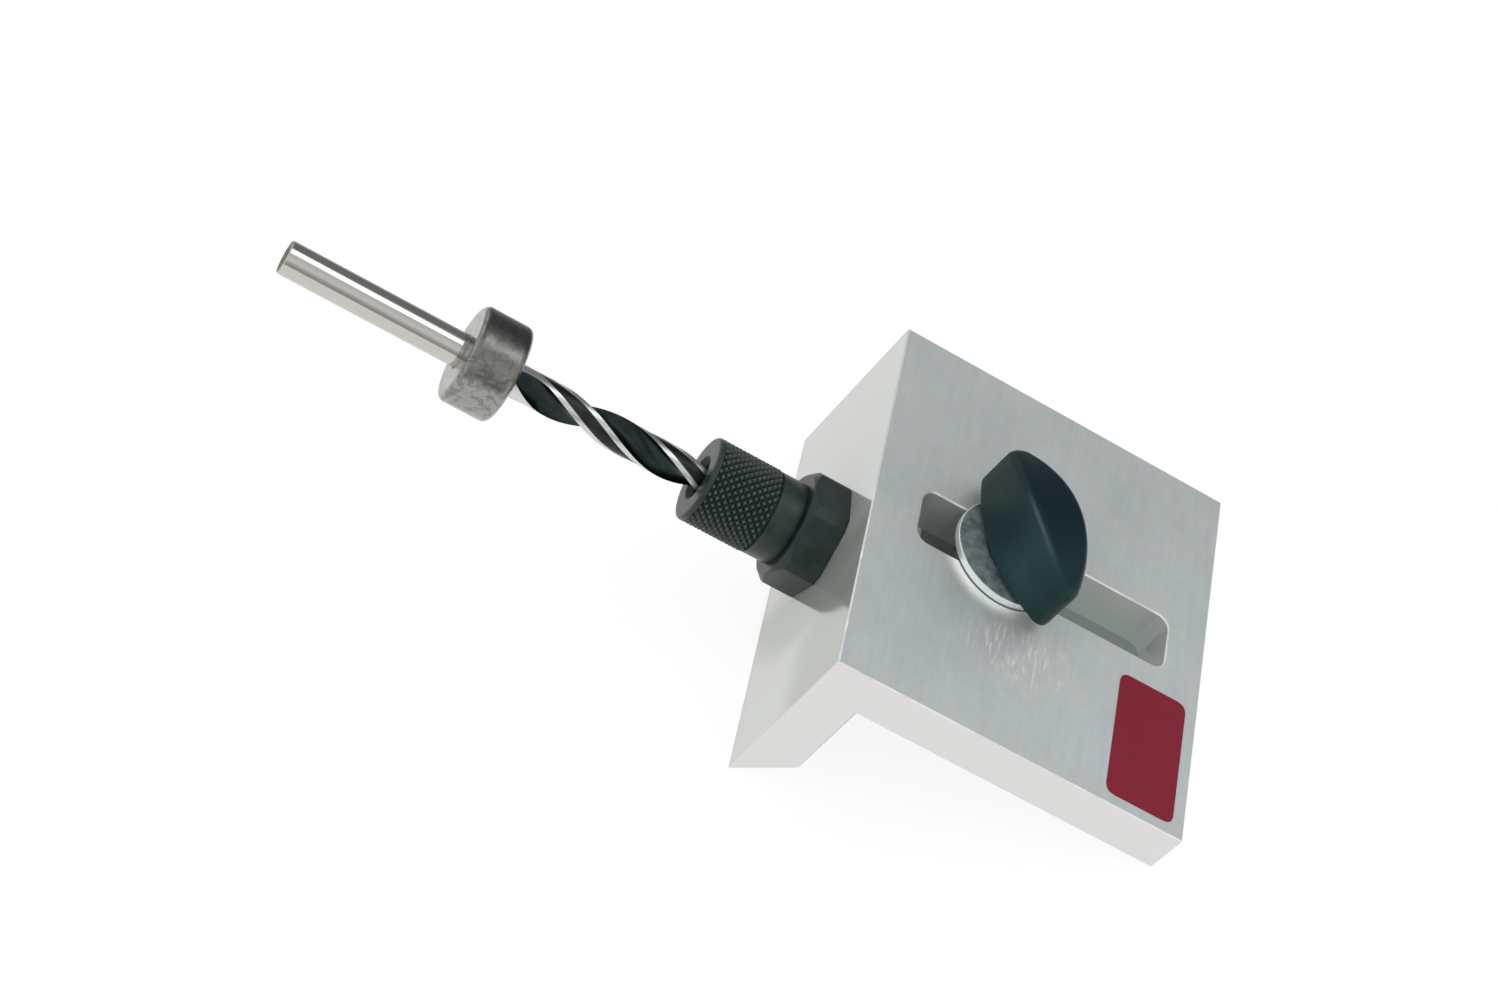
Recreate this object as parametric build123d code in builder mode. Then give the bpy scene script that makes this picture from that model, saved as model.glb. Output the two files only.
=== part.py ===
from build123d import *
import os
from math import acos, atan2, cos, degrees, radians, sin, sqrt

os.makedirs("parts", exist_ok=True)

# Drilling jig: an aluminium angle that sits over the edge of a panel. A twist drill runs in a
# knurled guide bush through the short flange, and a locating tongue slides under the long one.
# All sizes are millimetres.
# Jig frame: x runs along the long flange from the outer corner, y across the width, and z
# stands out of the long flange's outer face. The whole jig rests tilted on its two free edges.

# Angle body
angle_width = 77.0
long_flange = 66.2
short_flange = 35.4
long_thickness = 9.0
short_thickness = 8.8
end_bevel = 8.1
edge_break = 0.25

# Adjusting slot in the long flange
slot_start = 9.0
slot_end = 58.6
slot_width = 11.3
slot_corner = 2.4

# Guide bush and its lock nut
axis_depth = 17.7
bush_length = 24.2
bush_diameter = 15.3
knurl_length = 12.5
plain_diameter = 15.0
mouth_diameter = 8.2
mouth_depth = 1.1
rim_round = 0.7
plain_chamfer = 0.15
neck_diameter = 14.4
neck_length = 0.95
bush_thread = 12.0
nut_across_flats = 19.0
nut_corner_diameter = 20.8
nut_face_diameter = 18.6
nut_thickness = 7.0
nut_chamfer = 1.2
nut_turn = 18.5

# Drill
drill_diameter = 6.0
drill_length = 93.0
shank_length = 41.3
shank_chamfer = 0.2
drill_tip_depth = 8.8
helix_lead = 43.0
flute_turn = 12.0
flute_runout = 5.0
web_thickness = 1.5
flute_radius = 2.9
land_relief = 0.12
margin_width = 0.95
point_length = 2.0
point_radius = 0.9
spur_height = 0.8
spur_width = 0.5

# Depth stop collar and its set screw
collar_diameter = 17.4
collar_width = 9.0
collar_gap = 36.05
collar_round = 1.2
set_screw_diameter = 4.0
set_screw_length = 5.4
set_screw_hex = 2.0
set_screw_hex_depth = 2.2

# Clamp: washer, wing knob and bolt
clamp_place = 26.0
washer_diameter = 20.5
washer_thickness = 1.5
washer_round = 0.3
bolt_diameter = 6.0
bolt_head_flats = 8.0
bolt_head_height = 5.0
knob_length = 29.0
knob_width = 10.6
knob_tip_round = 2.3
knob_height = 13.5
knob_crown = 4.4
knob_edge_round = 1.2
knob_base_round = 0.3
knob_turn = 30.0
boss_diameter = 9.6
boss_height = 1.0
head_cover = 1.6

# Slide plate with its key, locating tongue and the screws that join them
plate_length = 64.0
plate_width = 21.6
plate_thickness = 3.0
plate_chamfer = 0.5
key_length = 11.8
key_height = 6.0
tongue_radius = 50.0
tongue_depth = 9.5
tongue_thickness = 7.0
tongue_edge_break = 0.5
notch_clearance = 0.7
tongue_screw_diameter = 4.0
tongue_screw_head = 7.6
tongue_screw_length = 8.0
tongue_screw_spacing = 34.0
tongue_screw_sink = 0.1
tongue_screw_hex = 2.5
tongue_screw_hex_depth = 1.3

# Clearances
running_clearance = 0.07
thread_clearance = 0.05
key_clearance = 0.15
washer_clearance = 0.2
moulded_gap = 0.02
bush_end_gap = 0.2
hole_end_gap = 0.3

# Places worked out from the sizes
drill_radius = drill_diameter / 2
bush_front = -bush_length
plain_end = -nut_thickness - neck_length
drill_tip = -drill_tip_depth
drill_tail = drill_tip - drill_length
flute_start = drill_tail + shank_length
collar_near = bush_front - collar_gap
collar_far = collar_near - collar_width
set_screw_place = (collar_near + collar_far) / 2
plate_top = -long_thickness
plate_bottom = plate_top - plate_thickness
knob_base = washer_thickness + boss_height
bolt_shoulder = washer_thickness + head_cover

# Rest pose: the free ends of both flanges touch the ground, and the origin is the middle of the
# footprint, between the drill's tail and the end of the long flange.
rest_tilt = atan2(short_flange - long_thickness, long_flange)
right_reach = long_flange * cos(rest_tilt) - edge_break * sin(rest_tilt)
left_reach = drill_tail * cos(rest_tilt) - (axis_depth + drill_radius - shank_chamfer) * sin(rest_tilt)
jig = Plane(
    origin=(-(right_reach + left_reach) / 2, 0, short_flange * cos(rest_tilt)),
    x_dir=(cos(rest_tilt), 0, -sin(rest_tilt)),
    z_dir=(sin(rest_tilt), 0, cos(rest_tilt)),
)


def point(x, y=0, z=0):
    """A point given in the jig frame."""
    return jig.from_local_coords(Vector(x, y, z))


def across(x):
    """Plane square to the drill, on its axis, facing the short flange; its x points up."""
    return Plane(origin=point(x, 0, -axis_depth), x_dir=jig.z_dir, z_dir=jig.x_dir)


def clamp_level(z):
    """Plane parallel to the long flange, centred on the clamp bolt."""
    return Plane(origin=point(clamp_place, 0, z), x_dir=jig.x_dir, z_dir=jig.z_dir)


mid = Plane(origin=point(0), x_dir=jig.x_dir, z_dir=-jig.y_dir)
drill_line = Plane(origin=point(0, 0, -axis_depth), x_dir=jig.x_dir, z_dir=-jig.y_dir)
drill_axis = Axis(drill_line.origin, jig.x_dir)

# Angle body: one extrusion with a bevelled end, a slot and the bush's threaded hole
with BuildPart() as angle_body:
    with BuildSketch(mid):
        with BuildLine():
            Polyline(
                (0, 0),
                (long_flange, 0),
                (long_flange, -long_thickness),
                (short_thickness, -long_thickness),
                (short_thickness, -short_flange + end_bevel),
                (0, -short_flange),
                close=True,
            )
        make_face()
    extrude(amount=angle_width / 2, both=True)
    end_faces = angle_body.faces().filter_by(Axis.Y)
    upper_edges = angle_body.edges().filter_by(Axis.Y).sort_by(Axis(point(0), jig.z_dir))[-2:]
    chamfer(end_faces.edges() + upper_edges, edge_break)
    with BuildSketch(jig):
        with Locations(((slot_start + slot_end) / 2, 0)):
            RectangleRounded(slot_end - slot_start, slot_width, slot_corner)
    extrude(amount=-2 * long_thickness, mode=Mode.SUBTRACT)
    outer_face = angle_body.faces().sort_by(Axis(point(0), jig.z_dir))[-1]
    chamfer(outer_face.inner_wires().edges(), edge_break)
    with BuildSketch(across(0)):
        Circle(bush_thread / 2 + thread_clearance)
    extrude(amount=short_thickness, mode=Mode.SUBTRACT)
angle_body.part.label = "angle_body"
export_step(angle_body.part, "parts/angle_body.step")

# Guide bush: turned sleeve with a countersunk mouth, a neck and a threaded end
with BuildPart() as guide_bush:
    with BuildSketch(drill_line):
        with BuildLine():
            Polyline(
                (bush_front, mouth_diameter / 2),
                (bush_front, bush_diameter / 2),
                (bush_front + knurl_length, bush_diameter / 2),
                (bush_front + knurl_length, plain_diameter / 2),
                (plain_end - plain_chamfer, plain_diameter / 2),
                (plain_end, plain_diameter / 2 - plain_chamfer),
                (plain_end, neck_diameter / 2),
                (-nut_thickness, neck_diameter / 2),
                (-nut_thickness, bush_thread / 2),
                (short_thickness - bush_end_gap, bush_thread / 2),
                (short_thickness - bush_end_gap, drill_radius + running_clearance),
                (bush_front + mouth_depth, drill_radius + running_clearance),
                close=True,
            )
        make_face()
    revolve(axis=drill_axis)
    rim = guide_bush.edges().filter_by(GeomType.CIRCLE).group_by(Axis(point(0), jig.x_dir))[0]
    fillet(rim.sort_by(SortBy.RADIUS)[-1], rim_round)
guide_bush.part.label = "guide_bush"
export_step(guide_bush.part, "parts/guide_bush.step")

# Lock nut: hexagon with its corners turned round and its front face chamfered
with BuildPart() as lock_nut:
    with BuildSketch(across(-nut_thickness)):
        RegularPolygon(nut_across_flats / 2, 6, major_radius=False, rotation=nut_turn)
        Circle(bush_thread / 2 + thread_clearance, mode=Mode.SUBTRACT)
    extrude(amount=nut_thickness)
    with BuildSketch(drill_line):
        with BuildLine():
            Polyline(
                (-nut_thickness, 0),
                (-nut_thickness, nut_face_diameter / 2),
                (-nut_thickness + nut_chamfer, nut_corner_diameter / 2),
                (-edge_break, nut_corner_diameter / 2),
                (0, nut_corner_diameter / 2 - edge_break),
                (0, 0),
                close=True,
            )
        make_face()
    revolve(axis=drill_axis, mode=Mode.INTERSECT)
lock_nut.part.label = "lock_nut"
export_step(lock_nut.part, "parts/lock_nut.step")

# Drill: plain shank, two right-hand flutes that run out at the shank, lands ground at both edges
flute_length = drill_tip - flute_start
flute_place = web_thickness / 2 + flute_radius
flute_half_angle = degrees(
    acos((drill_radius**2 + flute_place**2 - flute_radius**2) / (2 * drill_radius * flute_place))
)
margin_angle = degrees(margin_width / drill_radius)
spur_plane = drill_tip - point_length
with BuildPart() as drill_bit:
    with BuildSketch(across(flute_start)):
        Circle(drill_radius - land_relief)
        for flute_middle in (flute_turn, flute_turn + 180):
            for edge_side in (-1, 1):
                first = flute_middle + edge_side * flute_half_angle - margin_angle
                with BuildLine():
                    outer = CenterArc((0, 0), drill_radius, first, 2 * margin_angle)
                    inner = CenterArc((0, 0), drill_radius - 2 * land_relief, first, 2 * margin_angle)
                    Line(outer @ 0, inner @ 0)
                    Line(outer @ 1, inner @ 1)
                make_face()
        with PolarLocations(flute_place, 2, flute_turn):
            Circle(flute_radius, mode=Mode.SUBTRACT)
    core_line = Edge.make_line(across(flute_start).origin, across(drill_tip).origin)
    twist = Edge.make_helix(
        helix_lead, flute_length, drill_radius, across(flute_start).origin, jig.x_dir
    )
    sweep(path=core_line, binormal=twist)
    with BuildSketch(drill_line):
        with BuildLine():
            Polyline(
                (drill_tip, 0),
                (spur_plane, point_radius),
                (spur_plane, drill_radius - spur_width),
                (spur_plane + spur_height, drill_radius),
                (spur_plane + spur_height, drill_diameter),
                (drill_tip + edge_break, drill_diameter),
                (drill_tip + edge_break, 0),
                close=True,
            )
        make_face()
    revolve(axis=drill_axis, mode=Mode.SUBTRACT)
    with BuildSketch(across(drill_tail)):
        Circle(drill_radius)
    extrude(amount=shank_length)
    with BuildSketch(drill_line):
        with BuildLine():
            Polyline(
                (flute_start, 0),
                (flute_start, drill_radius),
                (flute_start + flute_runout, web_thickness / 2),
                (flute_start + flute_runout, 0),
                close=True,
            )
        make_face()
    revolve(axis=drill_axis)
    tail_face = drill_bit.faces().sort_by(Axis(point(0), jig.x_dir))[0]
    chamfer(tail_face.edges(), shank_chamfer)
drill_bit.part.label = "drill_bit"
export_step(drill_bit.part, "parts/drill_bit.step")

# Depth stop collar with a radial set screw from below
with BuildPart() as stop_collar:
    with BuildSketch(across(collar_far)):
        Circle(collar_diameter / 2)
        Circle(drill_radius + running_clearance, mode=Mode.SUBTRACT)
    extrude(amount=collar_width)
    rims = stop_collar.edges().filter_by(GeomType.CIRCLE).group_by(SortBy.RADIUS)
    fillet(rims[-1], collar_round)
    chamfer(rims[0], edge_break)
    screw_plane = Plane(
        origin=point(set_screw_place, 0, -axis_depth), x_dir=jig.x_dir, z_dir=-jig.z_dir
    )
    with BuildSketch(screw_plane):
        Circle(set_screw_diameter / 2 + thread_clearance)
    extrude(amount=collar_diameter, mode=Mode.SUBTRACT)
stop_collar.part.label = "stop_collar"
export_step(stop_collar.part, "parts/stop_collar.step")

with BuildPart() as collar_screw:
    with BuildSketch(screw_plane.offset(drill_radius + running_clearance)):
        Circle(set_screw_diameter / 2)
    extrude(amount=set_screw_length)
    socket_face = collar_screw.faces().sort_by(Axis(point(0), jig.z_dir))[0]
    chamfer(collar_screw.edges().filter_by(GeomType.CIRCLE), edge_break)
    with BuildSketch(Plane(socket_face.center(), x_dir=jig.x_dir, z_dir=jig.z_dir)):
        RegularPolygon(set_screw_hex / 2, 6, major_radius=False)
    extrude(amount=set_screw_hex_depth, mode=Mode.SUBTRACT)
collar_screw.part.label = "collar_screw"
export_step(collar_screw.part, "parts/collar_screw.step")

# Clamp washer on the outer face, over the slot
with BuildPart() as clamp_washer:
    with BuildSketch(clamp_level(0)):
        Circle(washer_diameter / 2)
        Circle(bolt_diameter / 2 + washer_clearance, mode=Mode.SUBTRACT)
    extrude(amount=washer_thickness)
    outer_rims = clamp_washer.edges().filter_by(GeomType.CIRCLE).group_by(SortBy.RADIUS)[-1]
    fillet(outer_rims, washer_round)
clamp_washer.part.label = "clamp_washer"
export_step(clamp_washer.part, "parts/clamp_washer.step")

# Clamp bolt: its hexagon head is moulded into the knob, its end ends flush in the slide plate
with BuildPart() as clamp_bolt:
    with BuildSketch(clamp_level(bolt_shoulder)):
        RegularPolygon(bolt_head_flats / 2, 6, major_radius=False, rotation=knob_turn)
    extrude(amount=bolt_head_height)
    with BuildSketch(clamp_level(bolt_shoulder)):
        Circle(bolt_diameter / 2)
    extrude(amount=plate_bottom + edge_break - bolt_shoulder)
    chamfer(clamp_bolt.edges().sort_by(Axis(point(0), jig.z_dir))[0], edge_break)
clamp_bolt.part.label = "clamp_bolt"
export_step(clamp_bolt.part, "parts/clamp_bolt.step")

# Wing knob: lens-shaped grip with an arched top, moulded round the bolt's head
long_way = Plane(
    origin=clamp_level(knob_base).origin,
    x_dir=jig.x_dir * sin(radians(knob_turn)) - jig.y_dir * cos(radians(knob_turn)),
    z_dir=jig.z_dir,
)
side_view = Plane(origin=long_way.origin, x_dir=long_way.x_dir, z_dir=-long_way.y_dir)
tip_centre = knob_length / 2 - knob_tip_round
thin_half = knob_width / 2 - knob_tip_round
side_radius = (tip_centre**2 + thin_half**2) / (2 * thin_half) + knob_tip_round
sharp_tip = sqrt(side_radius * knob_width - (knob_width / 2) ** 2)
crown_radius = ((knob_length / 2) ** 2 + knob_crown**2) / (2 * knob_crown)
with BuildPart() as clamp_knob:
    with BuildSketch(long_way) as grip_outline:
        with BuildLine():
            ThreePointArc((-sharp_tip, 0), (0, knob_width / 2), (sharp_tip, 0))
            ThreePointArc((sharp_tip, 0), (0, -knob_width / 2), (-sharp_tip, 0))
        make_face()
        fillet(grip_outline.vertices(), knob_tip_round)
    extrude(amount=knob_height)
    with BuildSketch(side_view):
        with Locations((0, knob_height - crown_radius)):
            Circle(crown_radius)
    extrude(amount=knob_width, both=True, mode=Mode.INTERSECT)
    by_height = clamp_knob.faces().sort_by(Axis(point(0), jig.z_dir))
    fillet(by_height[-1].edges(), knob_edge_round)
    fillet(by_height[0].edges(), knob_base_round)
    with BuildSketch(clamp_level(washer_thickness)):
        Circle(boss_diameter / 2)
    extrude(amount=boss_height)
    with BuildSketch(clamp_level(bolt_shoulder - moulded_gap)):
        RegularPolygon(bolt_head_flats / 2 + moulded_gap, 6, major_radius=False, rotation=knob_turn)
    extrude(amount=bolt_head_height + 2 * moulded_gap, mode=Mode.SUBTRACT)
    with BuildSketch(clamp_level(washer_thickness)):
        Circle(bolt_diameter / 2 + moulded_gap)
    extrude(amount=head_cover, mode=Mode.SUBTRACT)
clamp_knob.part.label = "clamp_knob"
export_step(clamp_knob.part, "parts/clamp_knob.step")

# Slide plate under the long flange, with a key that runs in the slot
with BuildPart() as slide_plate:
    with BuildSketch(clamp_level(plate_bottom)):
        Rectangle(plate_width, plate_length)
    extrude(amount=plate_thickness)
    chamfer(slide_plate.edges().filter_by(Axis(point(0), jig.z_dir)), plate_chamfer)
    with BuildSketch(clamp_level(plate_top)):
        RectangleRounded(key_length, slot_width - 2 * key_clearance, slot_corner)
    extrude(amount=key_height)
    with BuildSketch(clamp_level(plate_bottom)):
        Circle(bolt_diameter / 2 + thread_clearance)
    extrude(amount=plate_thickness + key_height, mode=Mode.SUBTRACT)
    with Locations(clamp_level(plate_top)):
        with GridLocations(0, tongue_screw_spacing, 1, 2):
            CounterSinkHole(
                tongue_screw_diameter / 2 + thread_clearance,
                tongue_screw_head / 2 + thread_clearance,
            )
slide_plate.part.label = "slide_plate"
export_step(slide_plate.part, "parts/slide_plate.step")

# Locating tongue: half-moon that enters the panel's groove, notched for the drill
notch_radius = drill_radius + notch_clearance
tongue_plane = Plane(
    origin=point(clamp_place, 0, plate_bottom), x_dir=jig.y_dir, z_dir=jig.x_dir
)
with BuildPart() as locating_tongue:
    with BuildSketch(tongue_plane):
        with Locations((0, tongue_radius - tongue_depth)):
            Circle(tongue_radius)
        Rectangle(2 * tongue_radius, tongue_depth, align=(Align.CENTER, Align.MAX), mode=Mode.INTERSECT)
        with Locations((0, -axis_depth - plate_bottom)):
            Circle(notch_radius, mode=Mode.SUBTRACT)
            Rectangle(
                2 * notch_radius, tongue_depth, align=(Align.CENTER, Align.MAX), mode=Mode.SUBTRACT
            )
    extrude(amount=tongue_thickness / 2, both=True)
    lower_arcs = locating_tongue.edges().filter_by(GeomType.CIRCLE).group_by(SortBy.RADIUS)[-1]
    chamfer(lower_arcs, tongue_edge_break)
    with Locations(clamp_level(plate_bottom)):
        with GridLocations(0, tongue_screw_spacing, 1, 2):
            Hole(
                tongue_screw_diameter / 2 + thread_clearance,
                tongue_screw_length - plate_thickness + hole_end_gap,
            )
locating_tongue.part.label = "locating_tongue"
export_step(locating_tongue.part, "parts/locating_tongue.step")

# Two countersunk screws that hold the tongue to the slide plate
with BuildPart() as tongue_screws:
    for side in (-1, 1):
        screw_line = Plane(
            origin=point(clamp_place, side * tongue_screw_spacing / 2, plate_top - tongue_screw_sink),
            x_dir=jig.x_dir,
            z_dir=-jig.y_dir,
        )
        with BuildSketch(screw_line):
            with BuildLine():
                Polyline(
                    (0, 0),
                    (tongue_screw_head / 2 - tongue_screw_sink, 0),
                    (tongue_screw_diameter / 2, -(tongue_screw_head - tongue_screw_diameter) / 2),
                    (tongue_screw_diameter / 2, -tongue_screw_length + edge_break),
                    (tongue_screw_diameter / 2 - edge_break, -tongue_screw_length),
                    (0, -tongue_screw_length),
                    close=True,
                )
            make_face()
        revolve(axis=Axis(screw_line.origin, jig.z_dir))
    with BuildSketch(clamp_level(plate_top - tongue_screw_sink)):
        with GridLocations(0, tongue_screw_spacing, 1, 2):
            RegularPolygon(tongue_screw_hex / 2, 6, major_radius=False)
    extrude(amount=-tongue_screw_hex_depth, mode=Mode.SUBTRACT)
tongue_screws.part.label = "tongue_screws"
export_step(tongue_screws.part, "parts/tongue_screws.step")
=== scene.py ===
"""Looks of a drilling jig: brushed angle, knurled bush, twist drill with stop collar, wing clamp.

Sizes are millimetres in the jig's own frame, which JigFrame turns and moves to the row frame:
x runs along the long flange from the outer corner, y across the width, z out of its outer face.
"""

import logging
import math
from collections.abc import Sequence
from dataclasses import dataclass, field
from enum import Enum
from typing import Any

import bpy
from mathutils import Matrix, Vector


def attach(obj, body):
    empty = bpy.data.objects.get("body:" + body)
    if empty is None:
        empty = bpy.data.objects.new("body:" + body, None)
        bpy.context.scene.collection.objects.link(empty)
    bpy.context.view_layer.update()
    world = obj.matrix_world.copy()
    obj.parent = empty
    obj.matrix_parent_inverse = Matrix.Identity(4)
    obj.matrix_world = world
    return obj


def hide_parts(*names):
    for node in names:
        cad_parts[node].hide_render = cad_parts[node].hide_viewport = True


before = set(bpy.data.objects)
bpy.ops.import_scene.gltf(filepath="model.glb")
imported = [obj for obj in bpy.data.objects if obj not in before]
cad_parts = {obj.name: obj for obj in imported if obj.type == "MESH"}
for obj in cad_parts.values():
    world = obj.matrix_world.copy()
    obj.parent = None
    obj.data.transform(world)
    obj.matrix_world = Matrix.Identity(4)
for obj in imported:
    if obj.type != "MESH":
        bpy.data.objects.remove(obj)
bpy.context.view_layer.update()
LOG = logging.getLogger("drilling_jig")
MM = 0.001
Node, Socket = bpy.types.Node, bpy.types.NodeSocket
Pair = tuple[float, float]
Point = tuple[float, float, float]
Rgb = tuple[float, float, float]
Stops = Sequence[tuple[float, Any]]


class Body(Enum):
    """Rigid bodies that the pieces ride on."""

    JIG = "jig"
    LOCATOR = "locator"
    KNOB = "knob"
    STOP = "depth_stop"
    DRILL = "drill"


class Turned(Enum):
    """Axis that a turned piece is made round, in the jig frame."""

    ALONG_DRILL = "x"
    ALONG_CLAMP = "z"


@dataclass(frozen=True)
class JigFrame:
    """Where the tilted jig stands in the row frame."""

    long_flange: float = 66.2
    short_flange: float = 35.4
    long_thickness: float = 9.0
    edge_break: float = 0.25
    drill_tail: float = -101.8
    axis_depth: float = 17.7
    tail_low: float = 20.5

    def tilt(self) -> float:
        """Angle between the long flange and the ground, in radians."""
        return math.atan2(self.short_flange - self.long_thickness, self.long_flange)

    def origin(self) -> Vector:
        """Outer corner of the angle in the row frame.

        Returns:
            The corner, in millimetres.
        """
        c, s = math.cos(self.tilt()), math.sin(self.tilt())
        right = self.long_flange * c - self.edge_break * s
        left = self.drill_tail * c - self.tail_low * s
        return Vector((-(right + left) / 2, 0, self.short_flange * c))

    def rotation(self) -> Matrix:
        """Turn from the jig frame to the row frame."""
        return Matrix.Rotation(self.tilt(), 4, "Y")

    def matrix(self) -> Matrix:
        """Jig millimetres to row metres."""
        return Matrix.Scale(MM, 4) @ Matrix.Translation(self.origin()) @ self.rotation()

    def direction(self, v: Point) -> Vector:
        """A direction of the jig frame, given in the row frame."""
        return (self.rotation() @ Vector(v)).normalized()


JIG = JigFrame()


class Nodes:
    """Builds the nodes of one tree and links them."""

    def __init__(self, tree: bpy.types.NodeTree) -> None:
        """Keeps the tree."""
        self.tree = tree

    def add(self, kind: str, inputs: dict[Any, Any] | None = None, **settings: Any) -> Node:
        """Adds a node.

        Args:
            kind: Blender's type name of the node.
            inputs: socket name or number to a value, or to a socket that is linked to it.
            settings: attributes of the node, set before its inputs.

        Returns:
            The new node.
        """
        node = self.tree.nodes.new(kind)
        for name, value in settings.items():
            setattr(node, name, value)
        for name, value in (inputs or {}).items():
            socket = node.inputs[name]
            if isinstance(value, Socket):
                self.tree.links.new(value, socket)
            else:
                socket.default_value = value
        return node

    def feed(self, node: Node, name: str, value: Socket) -> None:
        """Links a value to a named input of a node."""
        self.tree.links.new(value, node.inputs[name])

    def math(self, operation: str, *values: Any) -> Socket:
        """A Math node's result."""
        return self.add("ShaderNodeMath", dict(enumerate(values)), operation=operation).outputs[0]

    def times(self, a: Any, b: Any) -> Socket:
        """Product of two numbers."""
        return self.math("MULTIPLY", a, b)

    def vector_math(self, operation: str, *values: Any, out: int | str = 0) -> Socket:
        """A Vector Math node's result."""
        return self.add("ShaderNodeVectorMath", dict(enumerate(values)), operation=operation).outputs[out]

    def scaled(self, vector: Any, factor: Any) -> Socket:
        """A vector or colour times a number."""
        return self.add("ShaderNodeVectorMath", {0: vector, 3: factor}, operation="SCALE").outputs[0]

    def dot(self, a: Any, b: Any) -> Socket:
        """Dot product of two vectors."""
        return self.vector_math("DOT_PRODUCT", a, b, out="Value")

    def length(self, vector: Any) -> Socket:
        """Length of a vector."""
        return self.vector_math("LENGTH", vector, out="Value")

    def split(self, vector: Any) -> Any:
        """The three parts of a vector."""
        return self.add("ShaderNodeSeparateXYZ", {0: vector}).outputs

    def line(self, value: Any, start: float, full: float, low: float = 0.0, high: float = 1.0) -> Socket:
        """A number that goes from low to high as a value goes from start to full."""
        reach = {"Value": value, "From Min": start, "From Max": full, "To Min": low, "To Max": high}
        return self.add("ShaderNodeMapRange", reach).outputs[0]

    def step(self, value: Any, zero: float, one: float) -> Socket:
        """0 up to one place of a value, 1 from another, eased between."""
        reach = {"Value": value, "From Min": zero, "From Max": one}
        return self.add("ShaderNodeMapRange", reach, interpolation_type="SMOOTHSTEP").outputs[0]

    def spread(self, value: Any, low: float, high: float) -> Socket:
        """A 0 to 1 value turned into a number from low to high."""
        return self.line(value, 0.0, 1.0, low, high)

    def ramp(self, factor: Any, stops: Stops) -> Socket:
        """A Color Ramp with straight steps.

        Args:
            factor: socket that is looked up.
            stops: place and colour, or place and grey value, of each stop.

        Returns:
            The colour socket.
        """
        node = self.add("ShaderNodeValToRGB", {0: factor})
        elements = node.color_ramp.elements
        while len(elements) < len(stops):
            elements.new(0.5)
        for element, (place, value) in zip(elements, stops):
            element.position = place
            rgb = value if isinstance(value, tuple) else (value,) * 3
            element.color = (*rgb, 1)
        return node.outputs[0]

    def mix(self, factor: Any, a: Any, b: Any) -> Socket:
        """Colour between two others.

        Args:
            factor: 0 gives a, 1 gives b.
            a: colour or socket.
            b: colour or socket.

        Returns:
            The colour socket.
        """
        first, second = (c if isinstance(c, Socket) else (*c, 1) for c in (a, b))
        return self.add("ShaderNodeMix", {0: factor, 6: first, 7: second}, data_type="RGBA").outputs[2]

    def blend(self, factor: Any, a: Any, b: Any) -> Socket:
        """Number a where the factor is 0, number b where it is 1."""
        return self.add("ShaderNodeMix", {0: factor, 2: a, 3: b}).outputs[0]

    def weighed(self, *parts: tuple[Any, float]) -> Socket:
        """Sum of values.

        Args:
            parts: each value with its weight.

        Returns:
            The sum.
        """
        total = self.times(*parts[0])
        for value, weight in parts[1:]:
            total = self.math("ADD", total, self.times(value, weight))
        return total

    def noise(self, place: Any, scale: float, detail: float = 3.0, rough: float = 0.5) -> Socket:
        """A Noise texture's value."""
        given = {"Vector": place, "Scale": scale, "Detail": detail, "Roughness": rough}
        return self.add("ShaderNodeTexNoise", given).outputs[0]

    def object_place(self) -> Socket:
        """Place on the piece in the row frame, in metres."""
        return self.add("ShaderNodeTexCoord").outputs["Object"]

    def jig_place(self, scale: Point = (1, 1, 1)) -> Socket:
        """Place on the piece in jig millimetres.

        Args:
            scale: further factor along each jig axis, for stretched patterns.

        Returns:
            A vector socket.
        """
        back = JIG.rotation().inverted() @ JIG.origin()
        given = {"Vector": self.object_place(), "Location": -back, "Rotation": (0, -JIG.tilt(), 0),
                 "Scale": (1 / MM,) * 3}
        return self.vector_math("MULTIPLY", self.add("ShaderNodeMapping", given).outputs[0], scale)

    def jig_normal(self) -> Socket:
        """Surface normal in the jig frame."""
        given = {"Vector": self.add("ShaderNodeTexCoord").outputs["Normal"], "Rotation": (0, -JIG.tilt(), 0)}
        return self.add("ShaderNodeMapping", given, vector_type="VECTOR").outputs[0]

    def from_drill(self) -> Socket:
        """Distance of the place from the drill's axis, in millimetres."""
        offset = self.vector_math("SUBTRACT", self.jig_place(), (0.0, 0.0, -JIG.axis_depth))
        return self.length(self.vector_math("MULTIPLY", offset, (0.0, 1.0, 1.0)))


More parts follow.
